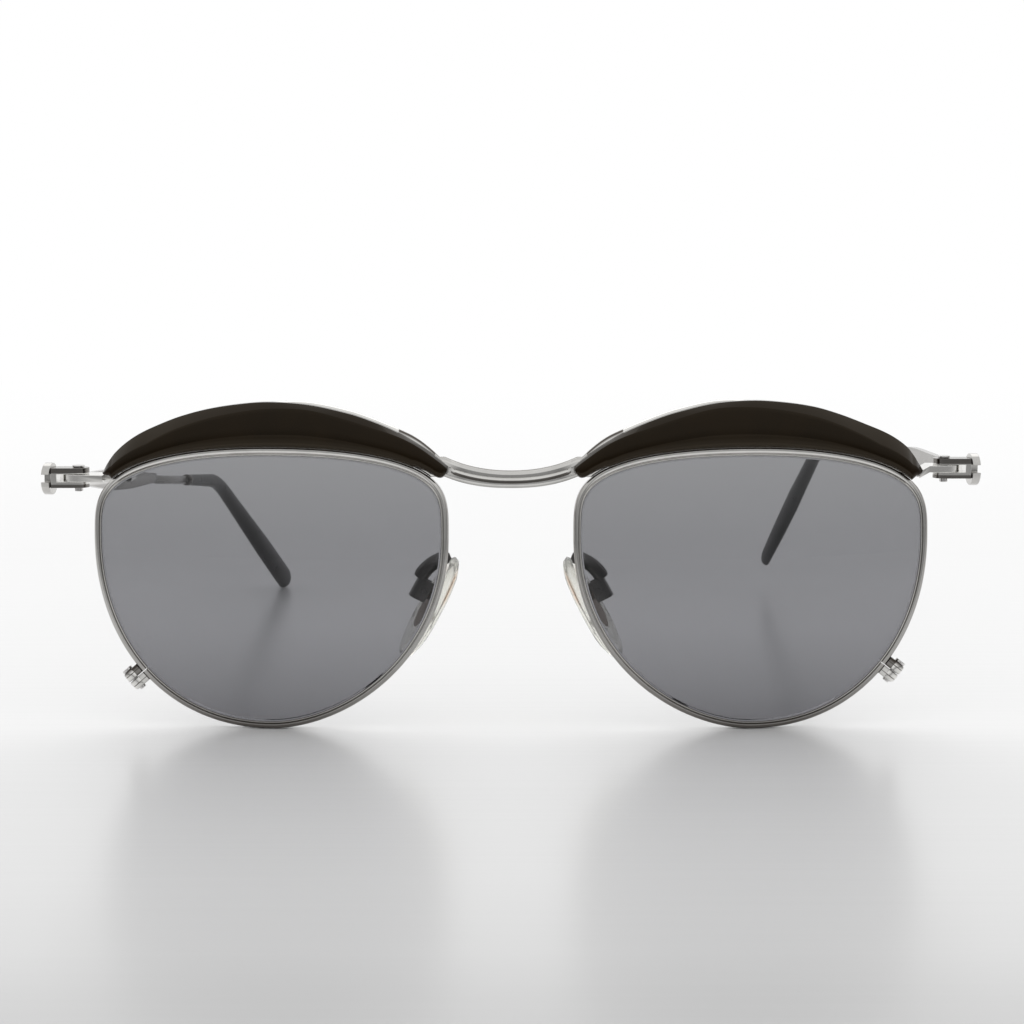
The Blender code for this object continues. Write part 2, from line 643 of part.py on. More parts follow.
def make_end_plate(side, front):
    """A flat plate brazed behind the rim, whose round end is the middle knuckle of the hinge."""
    front_edge = PIN_Y - END_PLATE_HALF_DEPTH
    back_edge = PIN_Y + END_PLATE_HALF_DEPTH
    behind = RIM_DEPTH / 2 + END_PLATE_SEAT

    def middle(out):
        share = clamp((out - END_PLATE_STEP_X) / (END_PLATE_NECK_X - END_PLATE_STEP_X))
        return HINGE_HEIGHT + END_LIFT[side] * blend(0.4, 1.0, share)

    def behind_rim(out):
        return front_depth(out, middle(out) + END_PLATE_THICKNESS / 2) + behind

    stations = [
        (END_PLATE_ROOT_X, behind_rim(END_PLATE_ROOT_X), back_edge),
        (END_PLATE_STEP_X, behind_rim(END_PLATE_STEP_X), back_edge),
        (END_PLATE_STEP_X + SEAT_GAP, front_edge, back_edge),
        (END_PLATE_NECK_X, front_edge, back_edge),
        (PIN_X, front_edge, back_edge),
    ]
    for i in range(1, 7):
        turn = math.radians(14 * i)
        reach = END_PLATE_HALF_DEPTH * math.cos(turn)
        stations.append((PIN_X + END_PLATE_HALF_DEPTH * math.sin(turn), PIN_Y - reach, PIN_Y + reach))
    rings = []
    for out, near, far in stations:
        low, high = middle(out) - END_PLATE_THICKNESS / 2, middle(out) + END_PLATE_THICKNESS / 2
        x = SIDES[side] * out
        rings.append([Vector((x, near, low)), Vector((x, near, high)), Vector((x, far, high)), Vector((x, far, low))])
    plate = loft(f"end_plate_{side}", rings, CHROME, front)
    foot = hinge_centre(side) - Vector((0, 0, END_PLATE_THICKNESS))
    bore(plate, HINGE_SCREW_RADIUS + HINGE_PLAY, foot, Vector((0, 0, 1)), END_PLATE_THICKNESS * 2)


def make_hinge_fork(side, temple):
    """Two leaves on one base, brazed on the temple, that clasp the end plate's knuckle."""
    mirror = SIDES[side]
    outer = TEMPLE_OFFSET - BLADE_THICKNESS / 2 - SEAT_GAP * 2
    half_stack = END_PLATE_THICKNESS / 2 + HINGE_PLAY + LEAF_THICKNESS
    arc = [math.radians(90 + 18 * i) for i in range(11)]
    outline = [(LEAF_HALF_DEPTH * math.cos(a), LEAF_HALF_DEPTH * math.sin(a)) for a in arc]
    lean = math.tan(math.radians(TEMPLE_TURN_IN_DEGREES[side]))
    outline += [(outer + LEAF_HALF_DEPTH * lean, -LEAF_HALF_DEPTH), (outer - LEAF_HALF_DEPTH * lean, LEAF_HALF_DEPTH)]
    rings = [[Vector((mirror * x, y, z)) for x, y in outline] for z in (-half_stack, half_stack)]
    fork = loft(f"hinge_fork_{side}", rings, CHROME, temple)
    slot_half = END_PLATE_THICKNESS / 2 + HINGE_PLAY
    corners = (-LEAF_HALF_DEPTH - CUT_OVERRUN, HINGE_BASE_INNER)
    low = Vector((min(mirror * c for c in corners), -LEAF_HALF_DEPTH - CUT_OVERRUN, -slot_half))
    high = Vector((max(mirror * c for c in corners), LEAF_HALF_DEPTH + CUT_OVERRUN, slot_half))
    cut(fork, block("fork_slot", low, high, STEEL, temple))
    foot = Vector((0, 0, -half_stack))
    bore(fork, HINGE_SCREW_RADIUS + HINGE_PLAY, foot, Vector((0, 0, 1)), half_stack * 2 + CUT_OVERRUN)
    head = half_stack + SEAT_GAP
    profile = (
        (HINGE_SCREW_RADIUS, -half_stack - HINGE_SCREW_TIP), (HINGE_SCREW_RADIUS, head),
        (HINGE_SCREW_HEAD_RADIUS, head), (HINGE_SCREW_HEAD_RADIUS, head + HINGE_SCREW_HEAD_HEIGHT),
    )
    turned(f"hinge_screw_{side}", profile, Vector(), Vector((0, 0, 1)), STEEL, temple)


# Temples, from the round head to the plastic tip


def direction(turn_in, fall_share, side):
    """Unit direction back along the temple, turned in by an angle and falling by a share of its length."""
    level = math.sqrt(1 - fall_share**2)
    return Vector((-SIDES[side] * math.sin(turn_in) * level, math.cos(turn_in) * level, -fall_share))


def temple_course(side):
    """Centre line from the middle of the head: a function of the distance along it, and its length."""
    start = Vector((SIDES[side] * TEMPLE_OFFSET, 0, -TEMPLE_DROP_AT_HINGE))
    fall = math.sin(math.radians(TEMPLE_FALL_DEGREES[side]))
    first = direction(math.radians(TEMPLE_TURN_IN_DEGREES[side]), fall, side)
    corner = start + first * TEMPLE_BEND_DISTANCE
    end_height = TIP_HALF_WIDTH + TIP_RAISED[side] - (HINGE_HEIGHT + END_LIFT[side])
    second = direction(
        math.radians(TIP_TURN_IN_DEGREES[side]), (corner.z - end_height) / TIP_DROP_LENGTH, side)
    bend = first.angle(second)
    trim = TEMPLE_BEND_RADIUS * math.tan(bend / 2)
    inward = (second - first * first.dot(second)).normalized()
    arc_from = TEMPLE_BEND_DISTANCE - trim
    arc_to = arc_from + TEMPLE_BEND_RADIUS * bend
    length = arc_to + TIP_DROP_LENGTH - trim

    def at(distance):
        if distance <= arc_from:
            return start + first * distance, first
        if distance >= arc_to:
            return corner + second * (trim + distance - arc_to), second
        turn = (distance - arc_from) / TEMPLE_BEND_RADIUS
        way = first * math.cos(turn) + inward * math.sin(turn)
        swing = first * math.sin(turn) + inward * (1 - math.cos(turn))
        return start + first * arc_from + swing * TEMPLE_BEND_RADIUS, way

    return at, length


def cross_ring(place, half_thickness, over, under, squareness=0.0):
    """Twelve points round the course, between an ellipse and a rectangle."""
    point, way = place
    across = way.cross(Vector((0, 0, 1))).normalized()
    up = across.cross(way)
    ring = []
    for i in range(TEMPLE_SIDES):
        turn = math.tau * (i + 0.5) / TEMPLE_SIDES
        x, z = math.cos(turn), math.sin(turn)
        reach = blend(1.0, 1 / max(abs(x), abs(z)), squareness)
        ring.append(point + across * (half_thickness * x * reach) + up * ((over if z > 0 else under) * z * reach))
    return ring


def core_places(length):
    """Stations of the wire inside the tip, which the tip's bore shares."""
    start = COLLAR_DISTANCE + COLLAR_LENGTH + TIP_GAP
    end = blend(start, length, CORE_REACH_SHARE)
    return [blend(start, end, i / CORE_STATIONS) for i in range(CORE_STATIONS + 1)]


def make_blade(side, temple, course, length):
    """Round slotted head, leaf-shaped blade that steps down to a wire, and the wire inside the tip."""
    rings = []
    half_height, half_thickness = BLADE_HEIGHT / 2, BLADE_THICKNESS / 2
    neck = half_height * BLADE_UNDER_SHARES[0][1]
    for i in range(9):
        turn = blend(math.radians(14), math.pi - math.asin(neck / BLADE_HEAD_RADIUS), i / 8)
        reach = BLADE_HEAD_RADIUS * math.sin(turn)
        place = course(-BLADE_HEAD_RADIUS * math.cos(turn))
        rings.append(cross_ring(place, half_thickness, reach, reach, BLADE_SQUARENESS_SHARE))
    head_end = BLADE_HEAD_RADIUS * 1.05
    for i in range(1, BLADE_STATIONS + 1):
        distance = blend(head_end, BLADE_LENGTH, i / BLADE_STATIONS)
        share = distance / BLADE_LENGTH
        over = half_height * smooth_table(BLADE_OVER_SHARES, share)
        under = half_height * smooth_table(BLADE_UNDER_SHARES, share)
        thickness = blend(half_thickness, WIRE_RADIUS, share)
        rings.append(cross_ring(course(distance), thickness, over, under, BLADE_SQUARENESS_SHARE))
    rings.append(cross_ring(course(BLADE_LENGTH + WIRE_RADIUS), WIRE_RADIUS, WIRE_RADIUS, WIRE_RADIUS))
    for distance in [BLADE_LENGTH + WIRE_RADIUS * 2] + core_places(length):
        rings.append(cross_ring(course(distance), WIRE_RADIUS, WIRE_RADIUS, WIRE_RADIUS))
    blade = loft(f"temple_{side}", rings, CHROME, temple)
    slot_half = END_PLATE_THICKNESS / 2 + HINGE_PLAY
    reach = BLADE_HEAD_RADIUS + CUT_OVERRUN
    sides = (SIDES[side] * (TEMPLE_OFFSET - BLADE_THICKNESS), SIDES[side] * (TEMPLE_OFFSET + BLADE_THICKNESS))
    low = Vector((min(sides), -reach, -slot_half))
    high = Vector((max(sides), BLADE_SLOT_LENGTH - BLADE_HEAD_RADIUS, slot_half))
    cut(blade, block("head_slot", low, high, STEEL, temple))


def make_collar(side, temple, course):
    """The small metal collar between the wire and the plastic tip."""
    foot, way = course(COLLAR_DISTANCE)
    inner = WIRE_RADIUS + COLLAR_FIT
    ease = COLLAR_LENGTH / 6
    profile = (
        (inner, 0.0), (COLLAR_RADIUS - ease, 0.0), (COLLAR_RADIUS, ease), (COLLAR_RADIUS, COLLAR_LENGTH - ease),
        (COLLAR_RADIUS - ease, COLLAR_LENGTH), (inner, COLLAR_LENGTH),
    )
    turned(f"temple_collar_{side}", profile, foot, way, CHROME, temple, looped=True)


def make_tip(side, temple, course, length):
    """The plastic tip: a sleeve over the wire that widens to a flat round paddle behind the ear."""
    start = COLLAR_DISTANCE + COLLAR_LENGTH + TIP_GAP
    run = length - start
    half_rows = [(place, wide) for place, wide, _ in TIP_SWELL_SHARES]
    thin_rows = [(place, thin) for place, _, thin in TIP_SWELL_SHARES]
    bore_radius = WIRE_RADIUS + TIP_BORE_FIT
    places = core_places(length)
    places[-1] += TIP_BORE_FIT * 2
    rings = [cross_ring(course(place), bore_radius, bore_radius, bore_radius) for place in reversed(places)]
    for i in range(TIP_STATIONS + 1):
        share = i / TIP_STATIONS
        wide = TIP_HALF_WIDTH * smooth_table(half_rows, share)
        thin = TIP_HALF_THICKNESS * smooth_table(thin_rows, share)
        rings.append(cross_ring(course(start + run * share), thin, wide, wide))
    for degrees in (18, 36, 54, 70, 83):
        turn = math.radians(degrees)
        place = course(length + TIP_HALF_WIDTH * math.sin(turn))
        thin = TIP_HALF_THICKNESS * math.sqrt(math.cos(turn))
        wide = TIP_HALF_WIDTH * math.cos(turn)
        rings.append(cross_ring(place, thin, wide, wide))
    loft(f"temple_tip_{side}", rings, TIP_PLASTIC, temple)


def make_temple(side, front):
    temple = empty(f"temple_hinge_{side}", hinge_centre(side), front)
    course, length = temple_course(side)
    make_hinge_fork(side, temple)
    make_blade(side, temple, course, length)
    make_collar(side, temple, course)
    make_tip(side, temple, course, length)
    return temple


# Nose pads


def pad_directions(side):
    """Along the pad (up), across it (back), and out of its mounting face (away from the nose)."""
    tilt, splay = math.radians(PAD_TILT_DEGREES), math.radians(PAD_SPLAY_DEGREES)
    along = Vector((-math.sin(tilt), 0, math.cos(tilt)))
    level = Vector((math.cos(tilt), 0, math.sin(tilt)))
    back = Vector((0, 1, 0))
    across = back * math.cos(splay) + level * math.sin(splay)
    away = level * math.cos(splay) - back * math.sin(splay)
    for way in (along, across, away):
        way.x *= SIDES[side]
    return along, across, away


def pad_outline(half_length, half_width, power):
    """Points (along, across) of an oval fuller at its lower end."""
    points = []
    for i in range(PAD_SIDES):
        turn = math.tau * (i + 0.5) / PAD_SIDES
        a, c = math.cos(turn), math.sin(turn)
        along = math.copysign(abs(a) ** (2 / power), a)
        across = math.copysign(abs(c) ** (2 / power), c)
        points.append((half_length * along, half_width * across * (1 - 0.14 * along)))
    return points


def make_nose_pad(side, pad):
    """Clear cushion with a crowned face, the metal plate pressed in its back, and the plate's boss."""
    along, across, away = pad_directions(side)
    centre = away * -PAD_STANDOFF - along * PAD_BELOW_PIVOT
    outline = pad_outline(PAD_HALF_LENGTH, PAD_HALF_WIDTH, PAD_OUTLINE_POWER)

    def ring(share, height):
        return [centre + along * (a * share) + across * (c * share) + away * height for a, c in outline]

    crown = PAD_THICKNESS
    rings = [
        ring(0.82, 0.0), ring(0.95, -crown * 0.10), ring(1.0, -crown * 0.32), ring(0.97, -crown * 0.55),
        ring(0.80, -crown * 0.84), ring(0.45, -crown * 0.97),
    ]
    cushion = loft(f"nose_pad_{side}", rings, SILICONE, pad, poles=(centre.copy(), centre - away * crown))
    plate_centre = centre + along * (PAD_BELOW_PIVOT / 2)

    def plate_ring(grow, height):
        rows = pad_outline(PAD_PLATE_HALF_LENGTH + grow, PAD_PLATE_HALF_WIDTH + grow, 2)
        return [plate_centre + along * a + across * c + away * height for a, c in rows]

    pocket = [plate_ring(PAD_PLATE_FIT, -PAD_PLATE_THICKNESS - PAD_PLATE_FIT), plate_ring(PAD_PLATE_FIT, CUT_OVERRUN)]
    cut(cushion, loft("pad_pocket", pocket, STEEL, pad))
    plate = loft(f"pad_insert_{side}", [plate_ring(0, -PAD_PLATE_THICKNESS), plate_ring(0, 0)], COPPERY, pad)
    arc = [math.radians(-90 + 20 * i) for i in range(10)]
    sink = PAD_PLATE_THICKNESS / 2
    profile = [(-PAD_BOSS_RADIUS, -PAD_STANDOFF - sink)]
    profile += [(PAD_BOSS_RADIUS * math.sin(a), PAD_BOSS_RADIUS * math.cos(a)) for a in arc]
    profile += [(PAD_BOSS_RADIUS, -PAD_STANDOFF - sink)]
    rings = [
        [along * a + away * n + across * c for a, n in profile]
        for c in (-PAD_BOSS_HALF_THICKNESS, PAD_BOSS_HALF_THICKNESS)
    ]
    join(plate, loft("pad_boss", rings, COPPERY, pad))
    foot = across * -PAD_BOSS_HALF_THICKNESS
    bore(plate, PAD_SCREW_RADIUS + HINGE_PLAY, foot, across, PAD_BOSS_HALF_THICKNESS * 2 + CUT_OVERRUN)


def join(thing, other):
    """Makes two overlapping shapes one solid."""
    tool = thing.modifiers.new("join", "BOOLEAN")
    tool.operation = "UNION"
    tool.solver = "EXACT"
    tool.object = other
    bpy.context.view_layer.update()
    result = bpy.data.meshes.new_from_object(thing.evaluated_get(bpy.context.evaluated_depsgraph_get()))
    thing.modifiers.clear()
    thing.data = result
    result.set_sharp_from_angle(angle=SMOOTH_ANGLE)
    bpy.data.objects.remove(other)


def pad_box_reach():
    """How far the box's back wall and its mouth lie from the pivot, away from the nose."""
    inner = PAD_BOSS_RADIUS + PAD_BOX_PLAY
    return inner, inner + PAD_BOX_WALL


def pad_pivot(side):
    return Vector((SIDES[side] * PAD_PIVOT_X, PAD_PIVOT_Y, WIDEST_NOSE_SIDE - PAD_PIVOT_DROP))


def make_pad_box(side, front):
    """Channel that holds the pad's boss, and its screw."""
    along, across, away = pad_directions(side)
    pivot = pad_pivot(side)
    inner_half = PAD_BOSS_HALF_THICKNESS + PAD_BOX_PLAY
    outer_half = inner_half + PAD_BOX_WALL
    floor, top = pad_box_reach()
    section = (
        (-outer_half, -PAD_BOX_INNER), (-inner_half, -PAD_BOX_INNER), (-inner_half, floor), (inner_half, floor),
        (inner_half, -PAD_BOX_INNER), (outer_half, -PAD_BOX_INNER), (outer_half, top - PAD_BOX_ROUND),
        (outer_half - PAD_BOX_ROUND, top), (PAD_BOX_ROUND - outer_half, top), (-outer_half, top - PAD_BOX_ROUND),
    )
    rings = [
        [pivot + across * c + away * n + along * a for c, n in section]
        for a in (-PAD_BOX_HALF_LENGTH, PAD_BOX_HALF_LENGTH)
    ]
    box = loft(f"pad_box_{side}", rings, CHROME, front)
    hole = PAD_SCREW_RADIUS + HINGE_PLAY
    bore(box, hole, pivot - across * outer_half, across, outer_half * 2 + CUT_OVERRUN)
    head = outer_half + SEAT_GAP
    profile = (
        (PAD_SCREW_RADIUS, -head), (PAD_SCREW_RADIUS, head), (PAD_SCREW_HEAD_RADIUS, head),
        (PAD_SCREW_HEAD_RADIUS, head + PAD_SCREW_HEAD_HEIGHT),
    )
    turned(f"pad_screw_{side}", profile, pivot, across, STEEL, front)


def make_pad_arm(side, front):
    """Bent wire from the back of the rim, up and over to the top of the box."""
    along, across, away = pad_directions(side)
    pivot = pad_pivot(side)
    floor, top = pad_box_reach()
    share = PAD_ARM_ROOT_DROP / WIDEST_NOSE_SIDE
    turn = math.pi + math.asin(share ** (LOW_NOSE_POWERS[1] / 2))
    root = edge_point(turn)
    out = root.x + RIM_WIDTH / 2
    start = Vector((SIDES[side] * out, front_depth(out, root.y) + RIM_DEPTH / 2 + PAD_ARM_SEAT, root.y))
    back = Vector((0, 1, 0))
    end = pivot + away * (floor + PAD_BOX_WALL / 2) + along * (PAD_BOX_HALF_LENGTH + PAD_ARM_SEAT)
    crest = (start + end) / 2 + back * PAD_ARM_SWEEP + Vector((0, 0, PAD_ARM_RISE))
    guides = [start, start + back * PAD_ARM_SWEEP, crest, end + along * PAD_ARM_RISE, end]
    points = []
    for i in range(ARM_STEPS + 1):
        rung = list(guides)
        while len(rung) > 1:
            rung = [a.lerp(b, i / ARM_STEPS) for a, b in zip(rung, rung[1:])]
        points.append(rung[0])
    curve = bpy.data.curves.new(f"pad_arm_{side}", "CURVE")
    curve.dimensions = "3D"
    curve.bevel_depth = PAD_ARM_RADIUS
    curve.bevel_resolution = 2
    curve.use_fill_caps = True
    spline = curve.splines.new("POLY")
    spline.points.add(len(points) - 1)
    for place, point in zip(spline.points, points):
        place.co = (*point, 1)
    arm = bpy.data.objects.new(curve.name, curve)
    bpy.context.scene.collection.objects.link(arm)
    arm.parent = front
    paint(arm, CHROME)


# The whole glasses


def stand_on_middle(frame):
    """Moves the whole so that the middle of its base is at the origin, and prints where the joints lie."""
    bpy.context.view_layer.update()
    depsgraph = bpy.context.evaluated_depsgraph_get()
    corners = []
    for thing in bpy.context.scene.objects:
        if thing.type in {"MESH", "CURVE"}:
            shown = thing.evaluated_get(depsgraph)
            corners += [thing.matrix_world @ vertex.co for vertex in shown.to_mesh().vertices]
            shown.to_mesh_clear()
    low = [min(corner[k] for corner in corners) for k in range(3)]
    high = [max(corner[k] for corner in corners) for k in range(3)]
    frame.location = (-(low[0] + high[0]) / 2, -(low[1] + high[1]) / 2, -low[2])
    bpy.context.view_layer.update()
    print("box before the move:", [round(v, 6) for v in low], [round(v, 6) for v in high])


def main():
    for thing in list(bpy.data.objects):
        bpy.data.objects.remove(thing)
    frame = empty("sunglasses", Vector())
    bar = make_brow_bar(frame)
    for side in SIDES:
        make_rim(side, frame)
        make_lens(side, frame)
        make_closing_block(side, frame)
        fasten_brow(side, frame, bar, make_brow(side, frame))
        make_end_plate(side, frame)
        make_pad_box(side, frame)
        make_pad_arm(side, frame)
        make_nose_pad(side, empty(f"nose_pad_pivot_{side}", pad_pivot(side), frame))
        make_temple(side, frame)
    stand_on_middle(frame)
    for name in ("temple_hinge", "nose_pad_pivot"):
        for side in SIDES:
            place = bpy.data.objects[f"{name}_{side}"].matrix_world.translation
            print(name, side, [round(v, 6) for v in place])
    for side in SIDES:
        print("pad axis", side, [round(v, 6) for v in pad_directions(side)[1]])


main()
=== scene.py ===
import bmesh
import bpy
import numpy as np
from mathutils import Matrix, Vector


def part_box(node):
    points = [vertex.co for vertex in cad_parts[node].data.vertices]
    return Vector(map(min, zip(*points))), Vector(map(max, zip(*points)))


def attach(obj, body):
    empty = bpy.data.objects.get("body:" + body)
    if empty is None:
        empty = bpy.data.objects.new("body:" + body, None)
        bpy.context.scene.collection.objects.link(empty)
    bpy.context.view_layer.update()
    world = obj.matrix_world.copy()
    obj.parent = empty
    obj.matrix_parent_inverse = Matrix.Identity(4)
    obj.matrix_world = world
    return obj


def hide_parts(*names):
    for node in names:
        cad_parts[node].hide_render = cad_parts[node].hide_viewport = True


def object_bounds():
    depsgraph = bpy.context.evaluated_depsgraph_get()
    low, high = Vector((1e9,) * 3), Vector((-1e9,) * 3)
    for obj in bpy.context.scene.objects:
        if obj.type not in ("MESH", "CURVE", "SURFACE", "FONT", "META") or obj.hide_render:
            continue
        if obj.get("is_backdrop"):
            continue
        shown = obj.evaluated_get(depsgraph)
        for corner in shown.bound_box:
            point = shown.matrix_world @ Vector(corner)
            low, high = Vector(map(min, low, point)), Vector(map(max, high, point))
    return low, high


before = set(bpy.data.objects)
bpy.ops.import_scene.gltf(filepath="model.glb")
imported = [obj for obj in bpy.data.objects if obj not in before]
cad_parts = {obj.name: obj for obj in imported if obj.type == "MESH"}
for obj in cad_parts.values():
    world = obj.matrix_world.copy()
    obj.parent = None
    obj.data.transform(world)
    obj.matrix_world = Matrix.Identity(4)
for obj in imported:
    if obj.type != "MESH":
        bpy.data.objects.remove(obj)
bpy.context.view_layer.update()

# Table, studio and camera. The glasses stand open on a sheet of white acrylic in a white studio:
# the sheet is glossy, so the front mirrors in it, softer with distance, and the far table and the
# wall run into one white. The room ahead of the glasses is dimmer, which draws the metal's edges.
SIDES = {"left": -1, "right": 1}
PIN_BEHIND_FRONT = 0.0092


def middle_of(node):
    """Middle of a CAD node's box."""
    low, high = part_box(node)
    return (low + high) / 2


hinge_pins = {side: middle_of(f"hinge_screw_{side}") for side in SIDES}
ACROSS = (hinge_pins["left"].x + hinge_pins["right"].x) / 2
BACK = hinge_pins["left"].y - PIN_BEHIND_FRONT

PICTURE_WIDTH, FOCAL_PIXELS, SENSOR_WIDTH = 1024, 2408, 36
CAMERA_ASIDE, CAMERA_AHEAD, CAMERA_HEIGHT, CAMERA_TILT = 0.00014, 0.3432, 0.07284, 6.75
camera = bpy.data.objects.new("camera", bpy.data.cameras.new("camera"))
camera.data.sensor_width = SENSOR_WIDTH
camera.data.lens = SENSOR_WIDTH * FOCAL_PIXELS / PICTURE_WIDTH
camera.data.clip_start = 0.01
camera.location = (ACROSS + CAMERA_ASIDE, BACK - CAMERA_AHEAD, CAMERA_HEIGHT)
camera.rotation_euler = (np.radians(90 - CAMERA_TILT), 0, 0)
bpy.context.scene.collection.objects.link(camera)
bpy.context.scene.camera = camera
bpy.context.scene.view_settings.view_transform = "Standard"


def put(tree, spot, value):
    """Feeds an input: links a socket to it, or sets it to a value."""
    if isinstance(value, bpy.types.NodeSocket):
        tree.links.new(value, spot)
    else:
        spot.default_value = value


def feed(tree, node, **settings):
    """Feeds a node's inputs, named with _ for a space, and sets what is no input as the node's own."""
    for name, value in settings.items():
        spot = node.inputs.get(name.replace("_", " "))
        if spot is None:
            setattr(node, name, value)
        else:
            put(tree, spot, value)
    return node


def wired(tree, kind, **settings):
    """A new node of a kind, fed with settings."""
    return feed(tree, tree.nodes.new(kind), **settings)


def shifted(tree, socket, scale, offset):
    """The socket's value times a scale plus an offset, each a number or a socket."""
    node = wired(tree, "ShaderNodeMath", operation="MULTIPLY_ADD")
    for spot, value in zip(node.inputs, (socket, scale, offset)):
        put(tree, spot, value)
    return node.outputs[0]


def ramp(tree, source, stops):
    """A colour ramp through (place, grey or colour) stops, driven by a socket."""
    node = tree.nodes.new("ShaderNodeValToRGB")
    bar = node.color_ramp
    while len(bar.elements) < len(stops):
        bar.elements.new(1.0)
    for element, (place, colour) in zip(bar.elements, stops):
        element.position = place
        element.color = (*colour, 1.0) if isinstance(colour, tuple) else (colour, colour, colour, 1.0)
    tree.links.new(source, node.inputs[0])
    return node.outputs["Color"]


def mixed(tree, factor, first, second, blend="MIX"):
    """Two colours mixed by a factor: from the first at 0 to the second at 1."""
    node = wired(tree, "ShaderNodeMix", data_type="RGBA", blend_type=blend)
    for spot, value in ((node.inputs[0], factor), (node.inputs["A"], first), (node.inputs["B"], second)):
        put(tree, spot, value)
    return node.outputs["Result"]


WHITE = (1, 1, 1, 1)
AHEAD_TO_BEHIND = ((0.0, 0.26), (0.3, 0.3), (0.5, 0.5), (0.66, 1.0))
LEVEL_TO_OVERHEAD = ((0.0, 0.0), (0.05, 0.3), (0.3, 0.72), (0.6, 0.85), (1.0, 0.85))
world = bpy.data.worlds.new("studio")
world.use_nodes = True
bpy.context.scene.world = world
tree = world.node_tree
heading = tree.nodes.new("ShaderNodeTexCoord").outputs["Generated"]
heading = wired(tree, "ShaderNodeSeparateXYZ", Vector=heading)
walls = ramp(tree, shifted(tree, heading.outputs["Y"], 0.5, 0.5), AHEAD_TO_BEHIND)
ceiling = ramp(tree, heading.outputs["Z"], LEVEL_TO_OVERHEAD)
room = mixed(tree, 1.0, walls, ceiling, "LIGHTEN")
seen = mixed(tree, tree.nodes.new("ShaderNodeLightPath").outputs["Is Camera Ray"], room, WHITE)
feed(tree, tree.nodes["Background"], Color=seen)

lamp = bpy.data.objects.new("softbox", bpy.data.lights.new("softbox", "AREA"))
lamp.data.size = 0.9
lamp.data.energy = 1.6
lamp.location = (0, 0.75, 0.9)
lamp.rotation_euler = (np.radians(-38), 0, 0)
bpy.context.scene.collection.objects.link(lamp)


def sheet_mesh(name, grid, closed=True):
    """A mesh through a grid of points [row, column]: every four neighbours make a face.

    Where it is closed, the columns make a loop, the first and last rows are capped, and the faces are
    turned outwards by the sign of the enclosed volume."""
    rows, columns = grid.shape[:2]
    index = np.arange(rows * columns).reshape(rows, columns)
    near, far = index[:-1], index[1:]
    if closed:
        faces = np.stack((near, np.roll(near, -1, 1), np.roll(far, -1, 1), far), -1)
    else:
        faces = np.stack((near[:, :-1], near[:, 1:], far[:, 1:], far[:, :-1]), -1)
    faces = faces.reshape(-1, 4).tolist()
    if closed:
        faces += [index[0][::-1].tolist(), index[-1].tolist()]
    mesh = bpy.data.meshes.new(name)
    mesh.from_pydata(grid.reshape(-1, 3).tolist(), [], faces)
    if closed:
        made = bmesh.new()
        made.from_mesh(mesh)
        bmesh.ops.recalc_face_normals(made, faces=made.faces)
        if made.calc_volume(signed=True) < 0:
            bmesh.ops.reverse_faces(made, faces=made.faces)
        made.to_mesh(mesh)
        made.free()
    return mesh


def piece(name, mesh, material, sharp=32):
    """An object at the origin with a mesh and its finish, shaded smooth except over sharp edges."""
    thing = bpy.data.objects.new(name, mesh)
    mesh.materials.clear()
    mesh.materials.append(material)
    mesh.shade_smooth()
    mesh.set_sharp_from_angle(angle=np.radians(sharp))
    bpy.context.scene.collection.objects.link(thing)
    return thing


def fresh_finish(name):
    """A new material, with its node tree, its shader and the socket of the piece's own coordinates."""
    material = bpy.data.materials.new(name)
    material.use_nodes = True
    tree = material.node_tree
    where = tree.nodes.new("ShaderNodeTexCoord").outputs["Object"]
    return material, tree, tree.nodes["Principled BSDF"], where


# Stops along the table, in metres: its grey from 0.35 m ahead of the origin, a painted shade that darkens
# the table towards the camera; its glow from the origin.
RAMP_AHEAD = 0.35
PAINTED_SHADE_NEAR_TO_FAR = (
    (0.0, 0.12), (0.09, 0.36), (0.155, 0.57), (0.172, 0.67), (0.2, 0.74), (0.24, 0.8), (0.28, 0.93),
    (0.4, 0.93), (0.6, 0.9), (0.9, 0.92),
)
TO_WHITE = ((0.0, 0.0), (0.12, 0.05), (0.35, 0.7), (0.7, 1.0))
TABLE_HALF_WIDTH, TABLE_NEAR, TABLE_FAR, TABLE_DROP = 2.5, -0.62, 4.0, 0.00002
acrylic, tree, shader, where = fresh_finish("white_acrylic_table")
feed(tree, shader, Roughness=0.5, IOR=1.5, Coat_Weight=1.0, Coat_Roughness=0.24)
drawn = wired(tree, "ShaderNodeMapping", Vector=where, Scale=(12.0, 420.0, 1.0))
ripple = wired(tree, "ShaderNodeTexNoise", Vector=drawn.outputs[0], Scale=1.0, Detail=2.0)
wavy = wired(tree, "ShaderNodeBump", Height=ripple.outputs[0], Strength=0.35, Distance=0.00005)
along_table = wired(tree, "ShaderNodeSeparateXYZ", Vector=where).outputs["Y"]
grey = ramp(tree, shifted(tree, along_table, 1.0, RAMP_AHEAD), PAINTED_SHADE_NEAR_TO_FAR)
feed(tree, shader, Coat_Normal=wavy.outputs[0], Base_Color=grey)
fade = wired(tree, "ShaderNodeMixShader")
glow = wired(tree, "ShaderNodeEmission")
whiter = ramp(tree, along_table, TO_WHITE)
for spot, source in zip(fade.inputs, (whiter, shader.outputs[0], glow.outputs[0])):
    put(tree, spot, source)
feed(tree, tree.nodes["Material Output"], Surface=fade.outputs[0])
x, y = np.meshgrid([-TABLE_HALF_WIDTH, TABLE_HALF_WIDTH], [TABLE_NEAR, TABLE_FAR])
table = piece("table", sheet_mesh("table", np.stack((x, y, 0 * x - TABLE_DROP), -1), closed=False), acrylic)
table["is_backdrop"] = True

# Rims. Each lens sits in an eyewire of nickel silver drawn with a groove inside, bent round the lens
# and polished. The wire follows the bowed front of the glasses and is open low on the temple side.
RIM_MIDDLE, RIM_HALF, RIM_TALL = 0.03497, 0.02593, 0.0412
WIDEST = {"temple": 0.6857 * RIM_TALL, "nose": 0.6799 * RIM_TALL}
